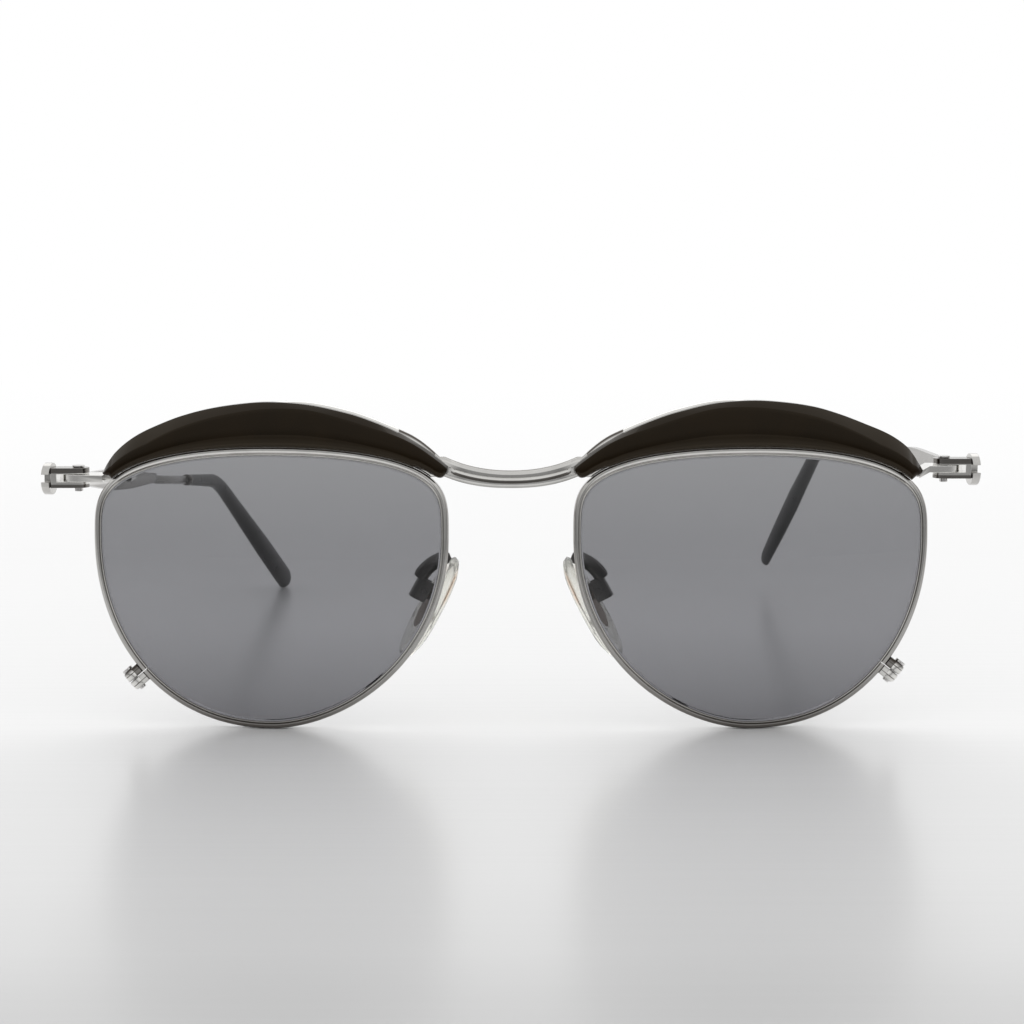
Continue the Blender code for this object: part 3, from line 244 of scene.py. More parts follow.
TEMPLE_TOP, TEMPLE_UNDER, NOSE_TOP, NOSE_UNDER = (2.07, 3.35), (2.17, 2.10), (2.19, 3.86), (1.82, 2.06)
LOCK_HEIGHT = {"left": 0.0081, "right": 0.0091}
HALF_OPENING = 0.000075
BOW_RADIUS, BOW_SLOPE = 0.1, 0.06
RIM_POINTS, EDGE_SAMPLES = 420, 6000


def front_depth(out, up):
    """Depth of the bowed front: R - sqrt(R^2 - across^2 - rise^2), plus a slope times the distance from
    the nose edge."""
    across, rise = np.abs(out) - RIM_MIDDLE, up - RIM_TALL / 2
    return BOW_RADIUS - np.sqrt(BOW_RADIUS**2 - across**2 - rise**2) + BOW_SLOPE * (across + RIM_HALF)


def laid_out(side, out, depth, up):
    """Points of the scene from distances out from the middle, back from the front and up from the table."""
    return np.stack(np.broadcast_arrays(ACROSS + SIDES[side] * out, BACK + depth, up), -1)


def rim_edge(turn):
    """Outer edge of a rim: four quarters, out = a cos^(2/p) and up = b sin^(2/q), that meet square."""
    across, rise = np.cos(turn), np.sin(turn)
    widest = np.where(across > 0, WIDEST["temple"], WIDEST["nose"])
    quarters = [(across > 0) & (rise > 0), across > 0, rise > 0]
    powers = zip(TEMPLE_TOP, TEMPLE_UNDER, NOSE_TOP, NOSE_UNDER)
    p, q = (np.select(quarters, power[:3], power[3]) for power in powers)
    reach = np.where(rise > 0, RIM_TALL - widest, widest)
    out = RIM_MIDDLE + RIM_HALF * np.sign(across) * np.abs(across) ** (2 / p)
    return out, widest + reach * np.sign(rise) * np.abs(rise) ** (2 / q)


def evenly(points, count):
    """The same line with evenly spaced points: each coordinate read off at equal steps of length."""
    run = np.concatenate(([0], np.cumsum(np.linalg.norm(np.diff(points, axis=0), axis=1))))
    return np.stack([np.interp(np.linspace(0, run[-1], count), run, column) for column in points.T], -1)


def rim_line(side, count):
    """Evenly spaced points round a rim from its opening, and the outward normals there."""
    share = 1 - LOCK_HEIGHT[side] / WIDEST["temple"]
    start = -np.arcsin(share ** (TEMPLE_UNDER[1] / 2))
    edge = np.stack(rim_edge(np.linspace(start, start + 2 * np.pi, EDGE_SAMPLES)), -1)
    points = evenly(edge, count)
    along = np.gradient(points, axis=0)
    normals = np.stack((along[:, 1], -along[:, 0]), -1)
    return points, normals / np.linalg.norm(normals, axis=1, keepdims=True)


def eased(corners, steps):
    """A polygon of (x, y, radius) with eased corners: each is a quadratic arc that leaves and joins the
    sides radius / tan(half the angle) from the corner, and never over half of a side."""
    here, radius = corners[..., :2], corners[..., 2:3]
    before, after = np.roll(here, 1, -2) - here, np.roll(here, -1, -2) - here
    long_before, long_after = (np.linalg.norm(v, axis=-1, keepdims=True) + 1e-12 for v in (before, after))
    before, after = before / long_before, after / long_after
    half = np.arccos(np.clip((before * after).sum(-1, keepdims=True), -1, 1)) / 2
    reach = np.minimum(radius / np.tan(np.maximum(half, 1e-3)), np.minimum(long_before, long_after) * 0.499)
    t = np.linspace(0, 1, steps)[:, None]
    start, end = (here + before * reach)[..., None, :], (here + after * reach)[..., None, :]
    bend = (1 - t) ** 2 * start + 2 * t * (1 - t) * here[..., None, :] + t**2 * end
    return bend.reshape(*bend.shape[:-3], -1, 2)


# Painted shade: the dark colour that metal is mixed towards by its "shade" attribute.
PAINTED_SHADE_COLOUR = (0.035, 0.024, 0.016, 1)
CLOUD_SHARE = 0.05


def plated(name, colour, roughness, grain=2200.0):
    """Polished metal: cloudy changes of polish, hairline scratches along one way, and painted shade where
    the mesh's own "shade" is over 0, darkening grooves, edges and faces for the dim room and shadow they
    mirror."""
    material, tree, shader, where = fresh_finish(name)
    cloud = wired(tree, "ShaderNodeTexNoise", Vector=where, Scale=260.0, Detail=4.0, Roughness=0.6)
    stretch = wired(tree, "ShaderNodeMapping", Vector=where, Scale=(1.0, 1.0, 7.0))
    hair = wired(tree, "ShaderNodeTexNoise", Vector=stretch.outputs[0], Scale=grain, Detail=3.0,
                 Roughness=0.7)
    low, high = (tuple(part * share for part in colour) for share in (1 - CLOUD_SHARE, 1 + CLOUD_SHARE))
    unshaded_colour = ramp(tree, cloud.outputs[0], ((0.35, low), (0.65, high)))
    dark = wired(tree, "ShaderNodeAttribute", attribute_name="shade").outputs["Fac"]
    blur = ramp(tree, hair.outputs[0], ((0.3, roughness * 0.85), (0.75, roughness * 1.2)))
    bump = wired(tree, "ShaderNodeBump", Height=hair.outputs[0], Strength=0.02, Distance=0.00002)
    feed(tree, shader, Metallic=1.0, Roughness=blur, Normal=bump.outputs[0])
    feed(tree, shader, Base_Color=mixed(tree, dark, unshaded_colour, PAINTED_SHADE_COLOUR))
    return material


nickel = plated("polished_nickel_silver", (0.80, 0.79, 0.765), 0.16)
CORNER_STEPS = 5

# One row for each corner of the eyewire: how far in from the edge, how deep and how eased; its painted
# shade all round, and the painted shade added on the flanks and below; and how far back it leans at the
# top.
EYEWIRE = np.array((
    (0, -0.00072, 0.0004, 0.7, 0.1, 0.3, -0.00023),
    (0, 0.0011, 0.00042, 0.2, 0.3, 0.5, 0),
    (0.0011, 0.0011, 0.00015, 0.2, 0, 0, 0),
    (0.0011, 0.0007, 0.00006, 0.4, 0, 0, 0),
    (0.0006, 0.00015, 0.00005, 0, 0, 0, 0),
    (0.0006, -0.00015, 0.00005, 0, 0, 0, 0),
    (0.0011, -0.0007, 0.00005, 0.5, 0, 0, 0),
    (0.0011, -0.00096, 0.00005, 0.85, 0, 0.1, 0),
    (0.00101, -0.00099, 0.00004, 0.1, 0, 0.4, 0),
    (0.00092, -0.001, 0.00006, 0, 0, 0.55, 0),
    (0.00083, -0.0009, 0.00003, 0.3, 0, 0.5, 0),
    (0.00073, -0.00088, 0.00003, 0.6, 0, 0.3, 0),
    (0.00066, -0.00106, 0.00006, 0, 0.1, 0.65, 0.00008),
    (0.00042, -0.0011, 0.0002, 0, 0.25, 0.88, 0.00002),
    (0.00012, -0.001, 0.0003, 0, 0.4, 0.85, -0.00016),
))
FLANK_PAINTED_SHADE = {"left": 1.0, "right": 1.3}


def shaded(mesh, shades, repeats=1):
    """Writes the mesh's shade from shades [row, corner], for as many points as ease a corner."""
    values = np.repeat(shades, repeats, axis=1).astype(np.float32).ravel()
    mesh.attributes.new("shade", "FLOAT", "POINT").data.foreach_set("value", values)


def round_front(side, points, normals, profile):
    """A profile (inset, depth) carried round a rim line: out and up move in along the normal, and the
    depth is added to the bowed front's own."""
    flat = points[:, None] - normals[:, None] * profile[..., :1]
    out, up = flat[..., 0], flat[..., 1]
    return laid_out(side, out, front_depth(out, up) + profile[..., 1], up)


for side in SIDES:
    points, normals = rim_line(side, RIM_POINTS)
    along = (points[1] - points[0]) / np.linalg.norm(points[1] - points[0])
    points[0] += HALF_OPENING * along
    points[-1] -= HALF_OPENING * along
    plain, flank, under, lean = EYEWIRE[:, 3:].T
    facing_up = normals[:, 1:]
    corners = EYEWIRE[:, :3] + 0 * facing_up[..., None]
    corners[..., 1] += np.clip(facing_up, 0, 1) ** 2 * lean
    mesh = sheet_mesh("eyewire", round_front(side, points, normals, eased(corners, CORNER_STEPS)))
    # Painted shade: the wire is darker on its flanks, more so on the right rim, and where it faces down,
    # for the dim room and shadowed table it mirrors.
    painted_rim_shade = plain + FLANK_PAINTED_SHADE[side] * normals[:, :1] ** 2 * flank + np.clip(-facing_up, 0, 1) ** 2 * under
    shaded(mesh, painted_rim_shade, CORNER_STEPS)
    rim = piece(f"eyewire_{side}", mesh, nickel)
    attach(rim, "front")
    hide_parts(f"rim_{side}")

# Closing blocks. Two half barrels are brazed on the rim's open ends, low on the temple side, each turned
# with a fine line round it, a rounded end and a flat foot on the wire. A screw draws them together.
BARREL_RADIUS, STANDOFF, FOOT_DEPTH, SEAT_GAP = 0.00105, 0.00165, 0.0016, 0.00004
BARREL_SIDES, DARKEST_PAINTED_SHADE = 96, 0.95

# Along a barrel from the opening: the distance, the change of radius and the painted shade.
TURNED_ROWS = (
    (0.0, -0.00012, 0.9), (0.00006, -0.00002, 0.3), (0.0003, 0, 0.0), (0.0007, 0, 0.0),
    (0.00073, -0.00006, 0.8), (0.0008, -0.00006, 0.8), (0.00083, -0.00001, 0.0), (0.00115, -0.00006, 0.0),
    (0.00132, -0.00018, 0.2), (0.0014, -0.00032, 0.7),
)


def half_barrel(side, way):
    """Half barrel: at each turn round its axis the reach is the larger of the barrel's radius and of the
    foot's, half its depth / sin(turn), which ends at the wire, standoff / cos(turn) away. The upper one has
    painted shadow at its end and on its foot."""
    points, normals = rim_line(side, RIM_POINTS)
    along, outward = (points[1] - points[0]) / np.linalg.norm(points[1] - points[0]), normals[0]
    turn = np.linspace(0, 2 * np.pi, BARREL_SIDES + 1)[:-1] + 0.01
    to_flank = FOOT_DEPTH / 2 / np.abs(np.sin(turn))
    to_wire = (STANDOFF - SEAT_GAP) / np.maximum(-np.cos(turn), 1e-3)
    foot = np.where(np.cos(turn) < 0, np.minimum(to_flank, to_wire), 0)
    run, change, shades = np.array(TURNED_ROWS).T
    reach = np.maximum(BARREL_RADIUS + change[:, None], foot)
    from_wire = STANDOFF + reach * np.cos(turn)
    flat = points[0] + from_wire[..., None] * outward + (way * (HALF_OPENING + run))[:, None, None] * along
    grid = laid_out(side, flat[..., 0], front_depth(*points[0]) + reach * np.sin(turn), flat[..., 1])
    mesh = sheet_mesh("half_barrel", grid)
    painted_shadow = 0.7 * (np.interp(run, (0.0009, 0.0012), (0, 1))[:, None] + (foot > BARREL_RADIUS)) * (way > 0)
    shaded(mesh, np.minimum(shades[:, None] + painted_shadow, DARKEST_PAINTED_SHADE))
    return mesh


for side in SIDES:
    for part, way in (("upper", 1), ("lower", -1)):
        barrel = piece(f"{part}_barrel_{side}", half_barrel(side, way), nickel)
        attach(barrel, "front")
        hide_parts(f"closing_barrel_{part}_{side}")

# Lenses. Neutral grey lenses 1.8 mm thick, cut from a curved blank, with a bevelled edge that lies in the
# rim's groove. The tint is painted a little lighter at the top, a painted reflection of the bright room
# above.
LENS_INSET, LENS_HALF_THICK = 0.00132, 0.0009
BEVEL_TIP = np.array(((0.00066, -0.0001), (0.00066, 0.0001)))
LENS_RINGS = np.concatenate((np.linspace(0.004, 0.9, 22), np.linspace(0.92, 1, 5)))[:, None, None]
TINT_AND_PAINTED_SHEEN = ((0.05, (0.183, 0.183, 0.196)), (0.3, (0.250, 0.250, 0.266)), (0.78, (0.268, 0.270, 0.280)))
TINT_FULL_HEIGHT = 0.05
tint, tree, shader, where = fresh_finish("grey_lens_tint")
height = wired(tree, "ShaderNodeSeparateXYZ", Vector=where).outputs["Z"]
tone = ramp(tree, shifted(tree, height, 1 / TINT_FULL_HEIGHT, 0.0), TINT_AND_PAINTED_SHEEN)
feed(tree, shader, Transmission_Weight=1.0, Roughness=0.0, IOR=1.5, Base_Color=tone)

for side in SIDES:
    points, normals = (line[:-1] for line in rim_line(side, RIM_POINTS + 1))
    middle = np.array((RIM_MIDDLE, RIM_TALL / 2))
    flat = middle + (points - normals * LENS_INSET - middle) * LENS_RINGS
    out, up = flat[..., 0], flat[..., 1]
    front, back = (laid_out(side, out, front_depth(out, up) + way * LENS_HALF_THICK, up) for way in (-1, 1))
    edge = np.swapaxes(round_front(side, points, normals, BEVEL_TIP), 0, 1)
    mesh = sheet_mesh("tinted_lens", np.concatenate((front, edge, back[::-1])))
    lens = piece(f"tinted_lens_{side}", mesh, tint, sharp=20)
    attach(lens, "front")
    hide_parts(f"lens_{side}")

# Brow bar. One stamped and polished bar: the bridge, with a line engraved along it, and a plate that
# backs each brow. Its front follows the bow of the rims and runs flat over the nose.
BAR_HALF, BRIDGE_HALF, FLAT_HALF, PLATE_START = 0.0575, 0.0096, 0.006, 0.0094
BAR_COLUMNS = 900

# The bridge's lower and upper arch: the height in its middle, the rise at its ends and the power.
BRIDGE_UNDER, BRIDGE_TOP = (0.0352, 0.00165, 2.4), (0.03775, 0.00194, 2.15)
BRIDGE_MIDDLE = (BRIDGE_UNDER[0] + BRIDGE_TOP[0]) / 2


def smooth(rows, where):
    """Cubic curve through (place, value) rows: between two rows it starts and ends with the slope of the
    line between their neighbours."""
    place, value = np.array(rows, float).T
    slope = np.empty_like(value)
    slope[1:-1] = (value[2:] - value[:-2]) / (place[2:] - place[:-2])
    slope[0], slope[-1] = np.diff(value)[[0, -1]] / np.diff(place)[[0, -1]]
    where = np.clip(where, place[0], place[-1])
    k = np.clip(np.searchsorted(place, where, side="right") - 1, 0, len(place) - 2)
    span, rise = place[k + 1] - place[k], value[k + 1] - value[k]
    t = (where - place[k]) / span
    leaving, arriving = slope[k] * span - rise, slope[k + 1] * span - rise
    return value[k] + t * rise + t * (1 - t) * ((1 - t) * leaving - t * arriving)


def rim_top(out):
    """Height of a rim's top edge: widest + b (1 - share^p)^(1/q)."""
    share = np.clip(np.abs(out - RIM_MIDDLE) / RIM_HALF, 0, 1)
    temple_side = out > RIM_MIDDLE
    widest = np.where(temple_side, WIDEST["temple"], WIDEST["nose"])
    p, q = (np.where(temple_side, *powers) for powers in zip(TEMPLE_TOP, NOSE_TOP))
    return widest + (RIM_TALL - widest) * (1 - share**p) ** (1 / q)


# The brow's top edge, in shares: of the rim's half width from its middle, and of the rise over the rim.
BROW_RISE = 0.0068
BROW_TOP = (
    (-1.000, -0.42), (-0.942, -0.23), (-0.830, 0.08), (-0.700, 0.355), (-0.560, 0.583), (-0.430, 0.750),
    (-0.210, 0.945), (0.000, 1.00), (0.185, 0.953), (0.350, 0.852), (0.487, 0.697), (0.622, 0.500),
    (0.776, 0.245), (0.876, -0.020), (0.920, -0.235), (0.938, -0.350), (0.966, -0.505),
)

# How much lower the left brow's top edge is, by the distance out, in metres, as all that follow.
LEFT_SINK = (
    (0.0092, 0.0), (0.0200, 0.0), (0.0250, 0.0001), (0.0310, 0.00022), (0.0360, 0.00023), (0.0440, 0.00032),
    (0.0490, 0.0002), (0.0530, 0.0003), (0.0565, 0.0007), (0.0580, 0.00094), (0.0595, 0.0011),
)

# How far the plate shows above the brow.
PLATE_SHOWS = (
    (0.0094, 0.0), (0.0115, 0.0004), (0.0140, 0.00055), (0.0165, 0.0004), (0.0300, 0.0003),
    (0.0400, -0.0006),
)


def brow_top(out, on_left):
    """Height of a brow's top edge: the rim's height and a share of the rise. The left brow was filed a
    little lower."""
    share = smooth(BROW_TOP, (out - RIM_MIDDLE) / RIM_HALF)
    return RIM_TALL + BROW_RISE * share - on_left * smooth(LEFT_SINK, out)


def bar_edges(out, on_left):
    """Heights of the bar's lower and upper edges: the bridge's arches, middle + rise share^power, then
    just over the rim and the brow."""
    share = np.minimum(out / BRIDGE_HALF, 1)
    low, high = (middle + rise * share**power for middle, rise, power in (BRIDGE_UNDER, BRIDGE_TOP))
    over_rim = np.where(out > RIM_MIDDLE - RIM_HALF, rim_top(out) + SEAT_GAP, 0)
    over_brow = np.where(out > PLATE_START, brow_top(out, on_left) + smooth(PLATE_SHOWS, out), 0)
    return np.maximum(low, over_rim), np.maximum(high, over_brow)


def bar_depth(out, up):
    """Depth of the bar's middle: the bowed front's own, and over the nose that of the bridge's end, read
    at heights that come together in the bridge's middle by share^2 (3 - 2 share)."""
    share = np.clip((out - FLAT_HALF) / (BRIDGE_HALF - FLAT_HALF), 0, 1)
    height = BRIDGE_MIDDLE + (up - BRIDGE_MIDDLE) * share**2 * (3 - 2 * share)
    return front_depth(np.maximum(out, BRIDGE_HALF), height)


# One row for each corner of the bar: its share of the way from the lower to the upper edge and how far
# above that; how deep and how eased; its share of the engraved line's depth; and its painted shade on the
# bridge, at the bridge's end and beside the brow's tip, where it is a dark painted reflection along the top
# edge.
BAR = np.array((
    (0, 0, -0.0004, 0.0002, 0, 0.4, 0.3, 0),
    (0, 0.00045, -0.00055, 0.0004, 0, 0, 0.1, 0),
    (0.5, -0.0006, -0.00055, 0, 0, 0.1, 0.1, 0),
    (0.5, -0.00048, -0.00055, 0.00005, 1, 0.85, 0.1, 0),
    (0.5, -0.00032, -0.00055, 0, 1, 0.7, 0.1, 0),
    (0.5, -0.00015, -0.00055, 0, 0.6, 0.05, 0.1, 0),
    (0.5, 0.0002, -0.00055, 0.00003, 1, 0.15, 0.1, 0),
    (0.5, 0.00032, -0.00055, 0, 0, 0.25, 0.1, 0),
    (1, -0.0006, -0.00055, 0.0004, 0, 0.12, 0.12, 0),
    (1, -0.00016, -0.00042, 0.0002, 0, 0.2, 0.3, 0.92),
    (1, -0.00002, -0.0002, 0.0001, 0, 0.9, 0.9, 0.95),
    (1, 0, 0.00055, 0.00022, 0, 0.3, 0.2, 0.2),
    (0, 0, 0.00055, 0.00022, 0, 0.3, 0.1, 0),
))
LINE_HALF, LINE_DEPTH, LINE_RUNS_OUT = 0.0087, 0.0003, 0.0006
BRIDGE_END, BROW_TIP_END = 0.0110, 0.0162

x = np.linspace(-BAR_HALF, BAR_HALF, BAR_COLUMNS)[:, None]
out = np.abs(x)
low, high = bar_edges(out, x < 0)
share, above, deep, radius, engraved, on_bridge, at_end, by_brow = BAR.T
line_depth = LINE_DEPTH * np.clip((LINE_HALF - out) / LINE_RUNS_OUT, 0, 1)
corners = (low + (high - low) * share + above, deep + line_depth * engraved, radius)
up, back = np.moveaxis(eased(np.stack(np.broadcast_arrays(*corners), -1), CORNER_STEPS), -1, 0)
grid = np.stack(np.broadcast_arrays(ACROSS + x, BACK + bar_depth(out, up) + back, up), -1)
mesh = sheet_mesh("bridge_and_backing", grid)
stretches = [out < LINE_HALF, out <= BRIDGE_END, out < BROW_TIP_END]
shaded(mesh, np.select(stretches, [on_bridge, at_end, by_brow]), CORNER_STEPS)
bar = piece("bridge_and_backing", mesh, nickel)
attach(bar, "front")
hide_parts("brow_bar")

# Brows. Two polished strips of very dark brown acetate, milled with a bevel along the top that widens
# towards the temple, and a lower edge rolled under. Small screws hold them from behind. The right one
# ends 0.5 mm farther out and is rounder there.
# The brow's colour is lightened by its "shade" attribute: a painted reflection on the bevel and on the
# rolled lower edge.
CLOUDY = ((0.35, (0.0065, 0.0036, 0.0010)), (0.7, (0.0105, 0.0058, 0.0018)))
PAINTED_SHEEN_BROWN = (0.055, 0.044, 0.031, 1)
DUSTY = ((0.35, 0.07), (0.75, 0.14))
acetate, tree, shader, where = fresh_finish("dark_brown_acetate")
swirl = wired(tree, "ShaderNodeTexNoise", Vector=where, Scale=140.0, Detail=3.0, Distortion=0.6)
painted_sheen = wired(tree, "ShaderNodeAttribute", attribute_name="shade").outputs["Fac"]
dust = wired(tree, "ShaderNodeTexNoise", Vector=where, Scale=1500.0, Detail=2.0)
feed(tree, shader, IOR=1.45, Specular_IOR_Level=0.22, Specular_Tint=(1.0, 0.88, 0.72, 1))
feed(tree, shader, Base_Color=mixed(tree, painted_sheen, ramp(tree, swirl.outputs[0], CLOUDY), PAINTED_SHEEN_BROWN))
feed(tree, shader, Roughness=ramp(tree, dust.outputs[0], DUSTY))

BROW_START, BROW_THICK, BROW_SEAT = 0.0092, 0.0024, 0.00059
BROW_END, ROUNDER_UNDER = {"left": 0.0595, "right": 0.0600}, {"left": 0.0005, "right": 0.0009}
BROW_COLUMNS, BROW_STEPS, END_ROUNDING, END_ARC = 260, 6, 0.0026, 0.001

# How far the lower edge is under the rim's top: by the distance out on the nose side, then at the outer
# end, with a fall towards it.
UNDER_TIP = (
    (0.0092, 0.0034), (0.0096, 0.0041), (0.0101, 0.0044), (0.0108, 0.00425), (0.0116, 0.00375),
    (0.0125, 0.0033), (0.0137, 0.0028),
)
UNDER_END, UNDER_FALL = 0.0044, 0.8

# The bevel's height by the distance out, and its most, as a share of the brow's height.
BEVEL = (
    (0.0092, 0.0003), (0.0150, 0.0004), (0.0210, 0.0009), (0.0290, 0.0007), (0.0350, 0.0009),
    (0.0450, 0.00135), (0.0510, 0.0017), (0.0560, 0.0023), (0.0600, 0.0023),
)
BEVEL_MOST = 0.42

# Corners of the face, from the back of the lower edge: the share of the height up to the bevel, the share
# of the thickness, and how eased. Then the painted sheen at them and at the two over the bevel: a lighter
# colour standing for the reflection of the table on the lower edge and of the bright room on the bevel.
FACE = (
    (0, 0, 0.0001), (0, 0.42, 0.0008), (0.07, 0.74, 0.02), (0.24, 0.93, 0.02), (0.48, 0.99, 0.02),
    (0.8, 1.0, 0.02), (1, 0.97, 0.0001),
)
BROW_PAINTED_SHEEN = np.array((0.3, 0.55, 0.55, 0.3, 0, 0, 0.6, 1, 0.6))
ON_BEVEL = np.arange(len(BROW_PAINTED_SHEEN)) > 5

for side in SIDES:
    end = BROW_END[side]
    out = BROW_START + (end - BROW_START) * (1 - np.cos(np.pi * np.linspace(0, 1, BROW_COLUMNS))) / 2
    arc = np.clip((out - end + END_ARC) / END_ARC, 0, 1)
    by_end = UNDER_END + (end - END_ARC - out) * UNDER_FALL * (arc == 0)
    drop = np.where(out < RIM_MIDDLE, smooth(UNDER_TIP, out), by_end)
    drop = drop - ROUNDER_UNDER[side] * (1 - np.sqrt(1 - arc**2))
    low, high = np.maximum(rim_top(out) + SEAT_GAP, RIM_TALL - drop), brow_top(out, side == "left")
    bevel = np.minimum(smooth(BEVEL, out), (high - low) * BEVEL_MOST)
    from_end = np.clip(np.minimum(out - BROW_START, end - out) / END_ROUNDING, 0, 1)
    thick = BROW_THICK * (0.5 + 0.5 * np.sqrt(from_end * (2 - from_end)))
    lean = np.interp(bevel, (0.0009, 0.0016), (0.6, 0.42))
    to_bevel = high - bevel - low
    rows = [(low + to_bevel * share, forward * thick, radius) for share, forward, radius in FACE]
    rows += [(high, lean * thick, 0.00012), (high, 0, 0.00006)]
    corners = np.stack([np.stack(np.broadcast_arrays(*row, out)[:3], -1) for row in rows], 1)
    up, forward = np.moveaxis(eased(corners, BROW_STEPS), -1, 0)
    depth = bar_depth(out[:, None], up) - BROW_SEAT - forward
    mesh = sheet_mesh("acetate_brow", laid_out(side, out[:, None], depth, up))
    wide_bevel = np.interp(bevel, (0.0008, 0.0016), (0.15, 0.5))[:, None]
    shaded(mesh, BROW_PAINTED_SHEEN * np.where(ON_BEVEL, wide_bevel, 1), BROW_STEPS)
    brow = piece(f"acetate_brow_{side}", mesh, acetate, sharp=75)
    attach(brow, "front")
    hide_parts(f"brow_{side}")

# Fittings. The end plates, hinge forks and pad boxes are small milled blocks, the pad arms and temples
# are bent and pressed from wire, and the screws and collars are turned. Each keeps the CAD's own form
# with its edges broken, as tumbling leaves them.
steel = plated("turned_steel", (0.62, 0.61, 0.60), 0.2, grain=3800)
gunmetal = plated("dull_dark_metal", (0.18, 0.17, 0.16), 0.25, grain=3000)
blackened = plated("blackened_metal", (0.11, 0.105, 0.1), 0.3, grain=3000)
BEVEL_SEGMENTS, BEVEL_OVER, MERGED, COPLANAR = 3, 40, 2e-7, 1


def behind_hinge(points):
    """Shade of a temple: a little at its head, none up to 11 mm behind the hinge pin, and two thirds
    from 20 mm."""
    behind = points[:, 1:2] - BACK - PIN_BEHIND_FRONT
    return np.interp(behind, (0.001, 0.004, 0.011, 0.020), (0.3, 0.0, 0.0, 0.66))


def tumbled(node, name, material, edge, body, smooth_to=40, swell=0.0, shade=None, cuts=()):
    """A merged copy of a CAD node with its coplanar triangles joined and its edges rounded. A swell moves
    its skin out along the normals, by one measure or by a function of its points. Cuts are (axis, place)
    pairs where its faces are split, and shade is a function of its points that gives the painted shade."""
    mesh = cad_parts[node].data.copy()
    made = bmesh.new()
    made.from_mesh(mesh)
    bmesh.ops.remove_doubles(made, verts=made.verts, dist=MERGED)
    bmesh.ops.dissolve_limit(made, angle_limit=np.radians(COPLANAR), verts=made.verts, edges=made.edges)
    for axis, place in cuts:
        across = [float(axis == way) for way in range(3)]
        everything = made.verts[:] + made.edges[:] + made.faces[:]
        point = [place * part for part in across]
        bmesh.ops.bisect_plane(made, geom=everything, plane_co=point, plane_no=across)
    made.to_mesh(mesh)
    made.free()
    points, out_of = np.empty(len(mesh.vertices) * 3), np.empty(len(mesh.vertices) * 3)
    mesh.vertices.foreach_get("co", points)
    mesh.vertices.foreach_get("normal", out_of)
    if callable(swell):
        swell = np.repeat(swell(points.reshape(-1, 3)), 3)
    mesh.vertices.foreach_set("co", points + swell * out_of)
    if shade:
        shaded(mesh, shade(points.reshape(-1, 3)))
    thing = piece(name, mesh, material, smooth_to)
    if edge:
        broken = thing.modifiers.new("broken_edges", "BEVEL")
        broken.width = edge
        broken.segments = BEVEL_SEGMENTS
        broken.limit_method = "ANGLE"
        broken.angle_limit = np.radians(BEVEL_OVER)
        broken.use_clamp_overlap = True
    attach(thing, body)
    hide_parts(node)


# The fork has painted shade: pale where the end plate's leaf lies between its own, and dark from there up
# and down.
LEAF, OVER_LEAF, FORK_SHADES = 0.00075, 0.0009, (0.05, 0.76)
BLADE_LENGTH, THICKER_WIRE, ARM_SWELL = 0.0565, 0.0002, 0.0004

for side in SIDES:
    tumbled(f"end_plate_{side}", f"hinge_plate_{side}", nickel, 0.0002, "front")
    tumbled(f"closing_screw_{side}", f"rim_screw_{side}", steel, 0.00008, "front")
    tumbled(f"brow_screw_inner_{side}", f"inner_brow_screw_{side}", steel, 0.00008, "front")
    tumbled(f"brow_screw_outer_{side}", f"outer_brow_screw_{side}", steel, 0.00008, "front")
    tumbled(f"pad_box_{side}", f"pad_channel_{side}", blackened, 0.0005, "front", 60)
    tumbled(f"pad_screw_{side}", f"pad_pin_{side}", blackened, 0.00006, "front")
    tumbled(f"pad_arm_{side}", f"pad_wire_{side}", blackened, 0, "front", 50, ARM_SWELL)
    middle = hinge_pins[side].z
    tumbled(f"hinge_fork_{side}", f"hinge_leaves_{side}", nickel, 0.00014, f"temple_{side}",
            shade=lambda points: np.interp(np.abs(points[:, 2:] - middle), (LEAF, OVER_LEAF), FORK_SHADES),
            cuts=[(2, middle + lift) for lift in (-OVER_LEAF, -LEAF, LEAF, OVER_LEAF)])
    tumbled(f"hinge_screw_{side}", f"hinge_pin_{side}", steel, 0.00008, f"temple_{side}")
    neck, collar = hinge_pins["left"].y + BLADE_LENGTH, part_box(f"temple_collar_{side}")[0].y
    wire = (neck, neck + 0.0008, collar - 0.0012, collar - 0.0006)
    tumbled(f"temple_{side}", f"blade_and_wire_{side}", nickel, 0.00014, f"temple_{side}",
            swell=lambda points: np.interp(points[:, 1], wire, (0, THICKER_WIRE, THICKER_WIRE, 0)),
            shade=behind_hinge, cuts=[(1, place) for place in wire])
    tumbled(f"temple_collar_{side}", f"collar_{side}", gunmetal, 0.00006, f"temple_{side}")

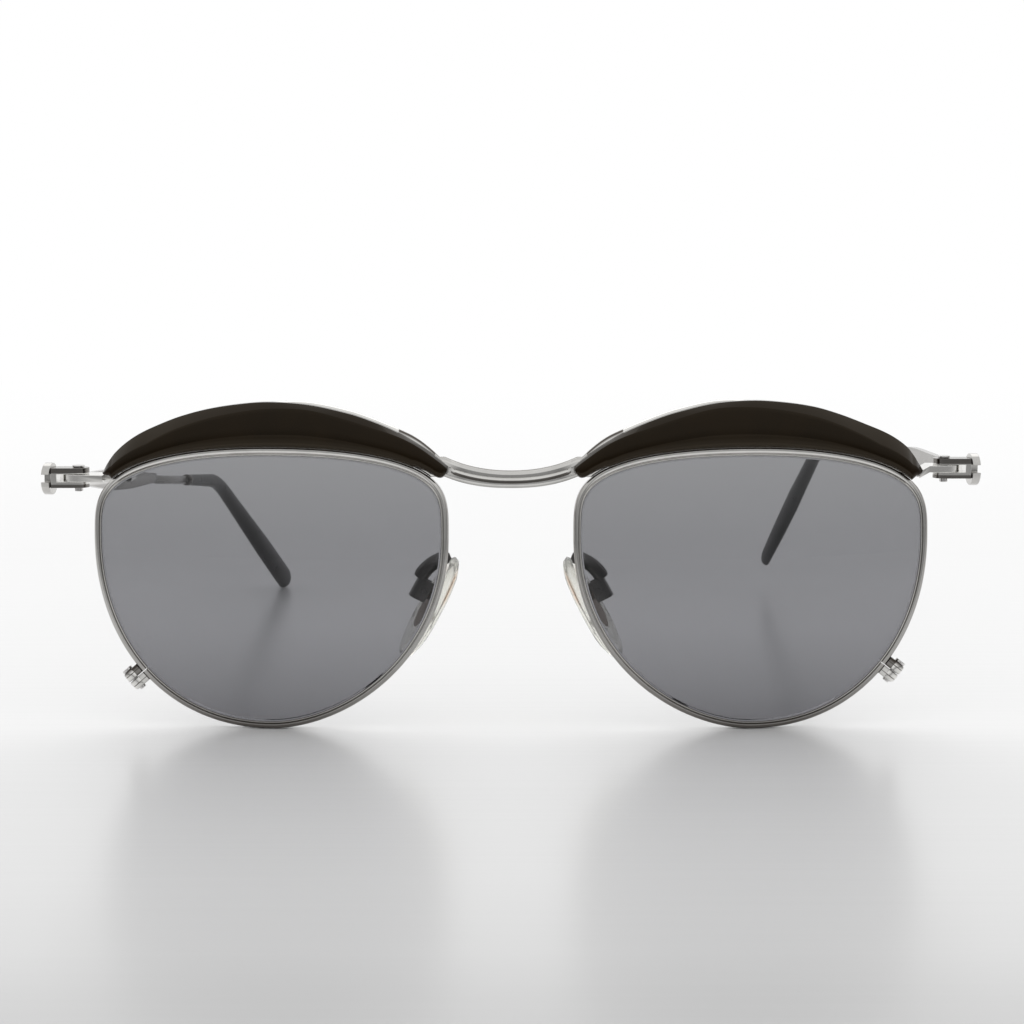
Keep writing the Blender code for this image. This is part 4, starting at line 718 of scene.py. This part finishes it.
# Temple tips. Near-black plastic sleeves pushed over the wire and bent with it, which widen to a flat
# round paddle behind the ear. The right one is a little slimmer at its end.
FLECKED, WORN = ((0.3, (0.007, 0.007, 0.008)), (0.7, (0.010, 0.0095, 0.010))), ((0.3, 0.27), (0.7, 0.32))
SLIMMER, SLIMMER_FROM, SLIMMER_TO = {"left": 0.0, "right": 0.0005}, 0.018, 0.003
black, tree, shader, where = fresh_finish("near_black_plastic")
fleck = wired(tree, "ShaderNodeTexNoise", Vector=where, Scale=600.0, Detail=3.0).outputs[0]
feed(tree, shader, Base_Color=ramp(tree, fleck, FLECKED), Roughness=ramp(tree, fleck, WORN))
for side in SIDES:
    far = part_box(f"temple_tip_{side}")[1].y
    paddle = (far - SLIMMER_FROM, far - SLIMMER_TO)
    tumbled(f"temple_tip_{side}", f"plastic_tip_{side}", black, 0, f"temple_{side}", 60,
            swell=lambda points: -SLIMMER[side] * np.interp(points[:, 1], paddle, (0, 1)))

# Nose pads. Clear silicone cushions with a coppery metal plate pressed in the back, whose boss hangs on the
# pad screw so that the pad can rock. The plate's reflection in the silicone is painted into its colour as a
# warm band down the middle.
CLEAR, PAINTED_COPPER_REFLECTION = (0.90, 0.895, 0.835, 1), (0.70, 0.40, 0.22, 1)
PAD_SLANT = 0.45
STREAK_SCALE, STREAK_SHIFT, STREAK = 250.0, -4.0, ((0.36, 0.0), (0.5, 1.0), (0.6, 0.0))
TALL_SCALE, TALL_SHIFT, TALL = 100.0, -1.5, ((0.2, 0.0), (0.35, 0.9), (0.65, 0.9), (0.8, 0.0))
PLATE_SHADE = 0.85
silicone, tree, shader, where = fresh_finish("clear_silicone")
x, y, z = wired(tree, "ShaderNodeSeparateXYZ", Vector=where).outputs
from_middle = wired(tree, "ShaderNodeMath", operation="ABSOLUTE", Value=shifted(tree, x, 1.0, -ACROSS))
slanted = shifted(tree, z, PAD_SLANT, from_middle.outputs[0])
painted_plate_streak = ramp(tree, shifted(tree, slanted, STREAK_SCALE, STREAK_SHIFT), STREAK)
tall = ramp(tree, shifted(tree, z, TALL_SCALE, TALL_SHIFT), TALL)
with_painted_reflection = mixed(tree, shifted(tree, painted_plate_streak, tall, 0.0), CLEAR, PAINTED_COPPER_REFLECTION)
feed(tree, shader, Transmission_Weight=0.92, Roughness=0.08, IOR=1.41, Base_Color=with_painted_reflection)
copper = plated("coppery_plate", (0.62, 0.40, 0.26), 0.22)
for side in SIDES:
    tumbled(f"nose_pad_{side}", f"silicone_pad_{side}", silicone, 0, f"nose_pad_{side}", 50)
    # The plate is painted dark, most of the way to the painted shade colour, as it shows in shade behind
    # the lens.
    tumbled(f"pad_insert_{side}", f"pad_plate_{side}", copper, 0.00006, f"nose_pad_{side}",
            shade=lambda points: np.full((len(points), 1), PLATE_SHADE))

# The box round all the shown pieces but the backdrop.
low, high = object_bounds()
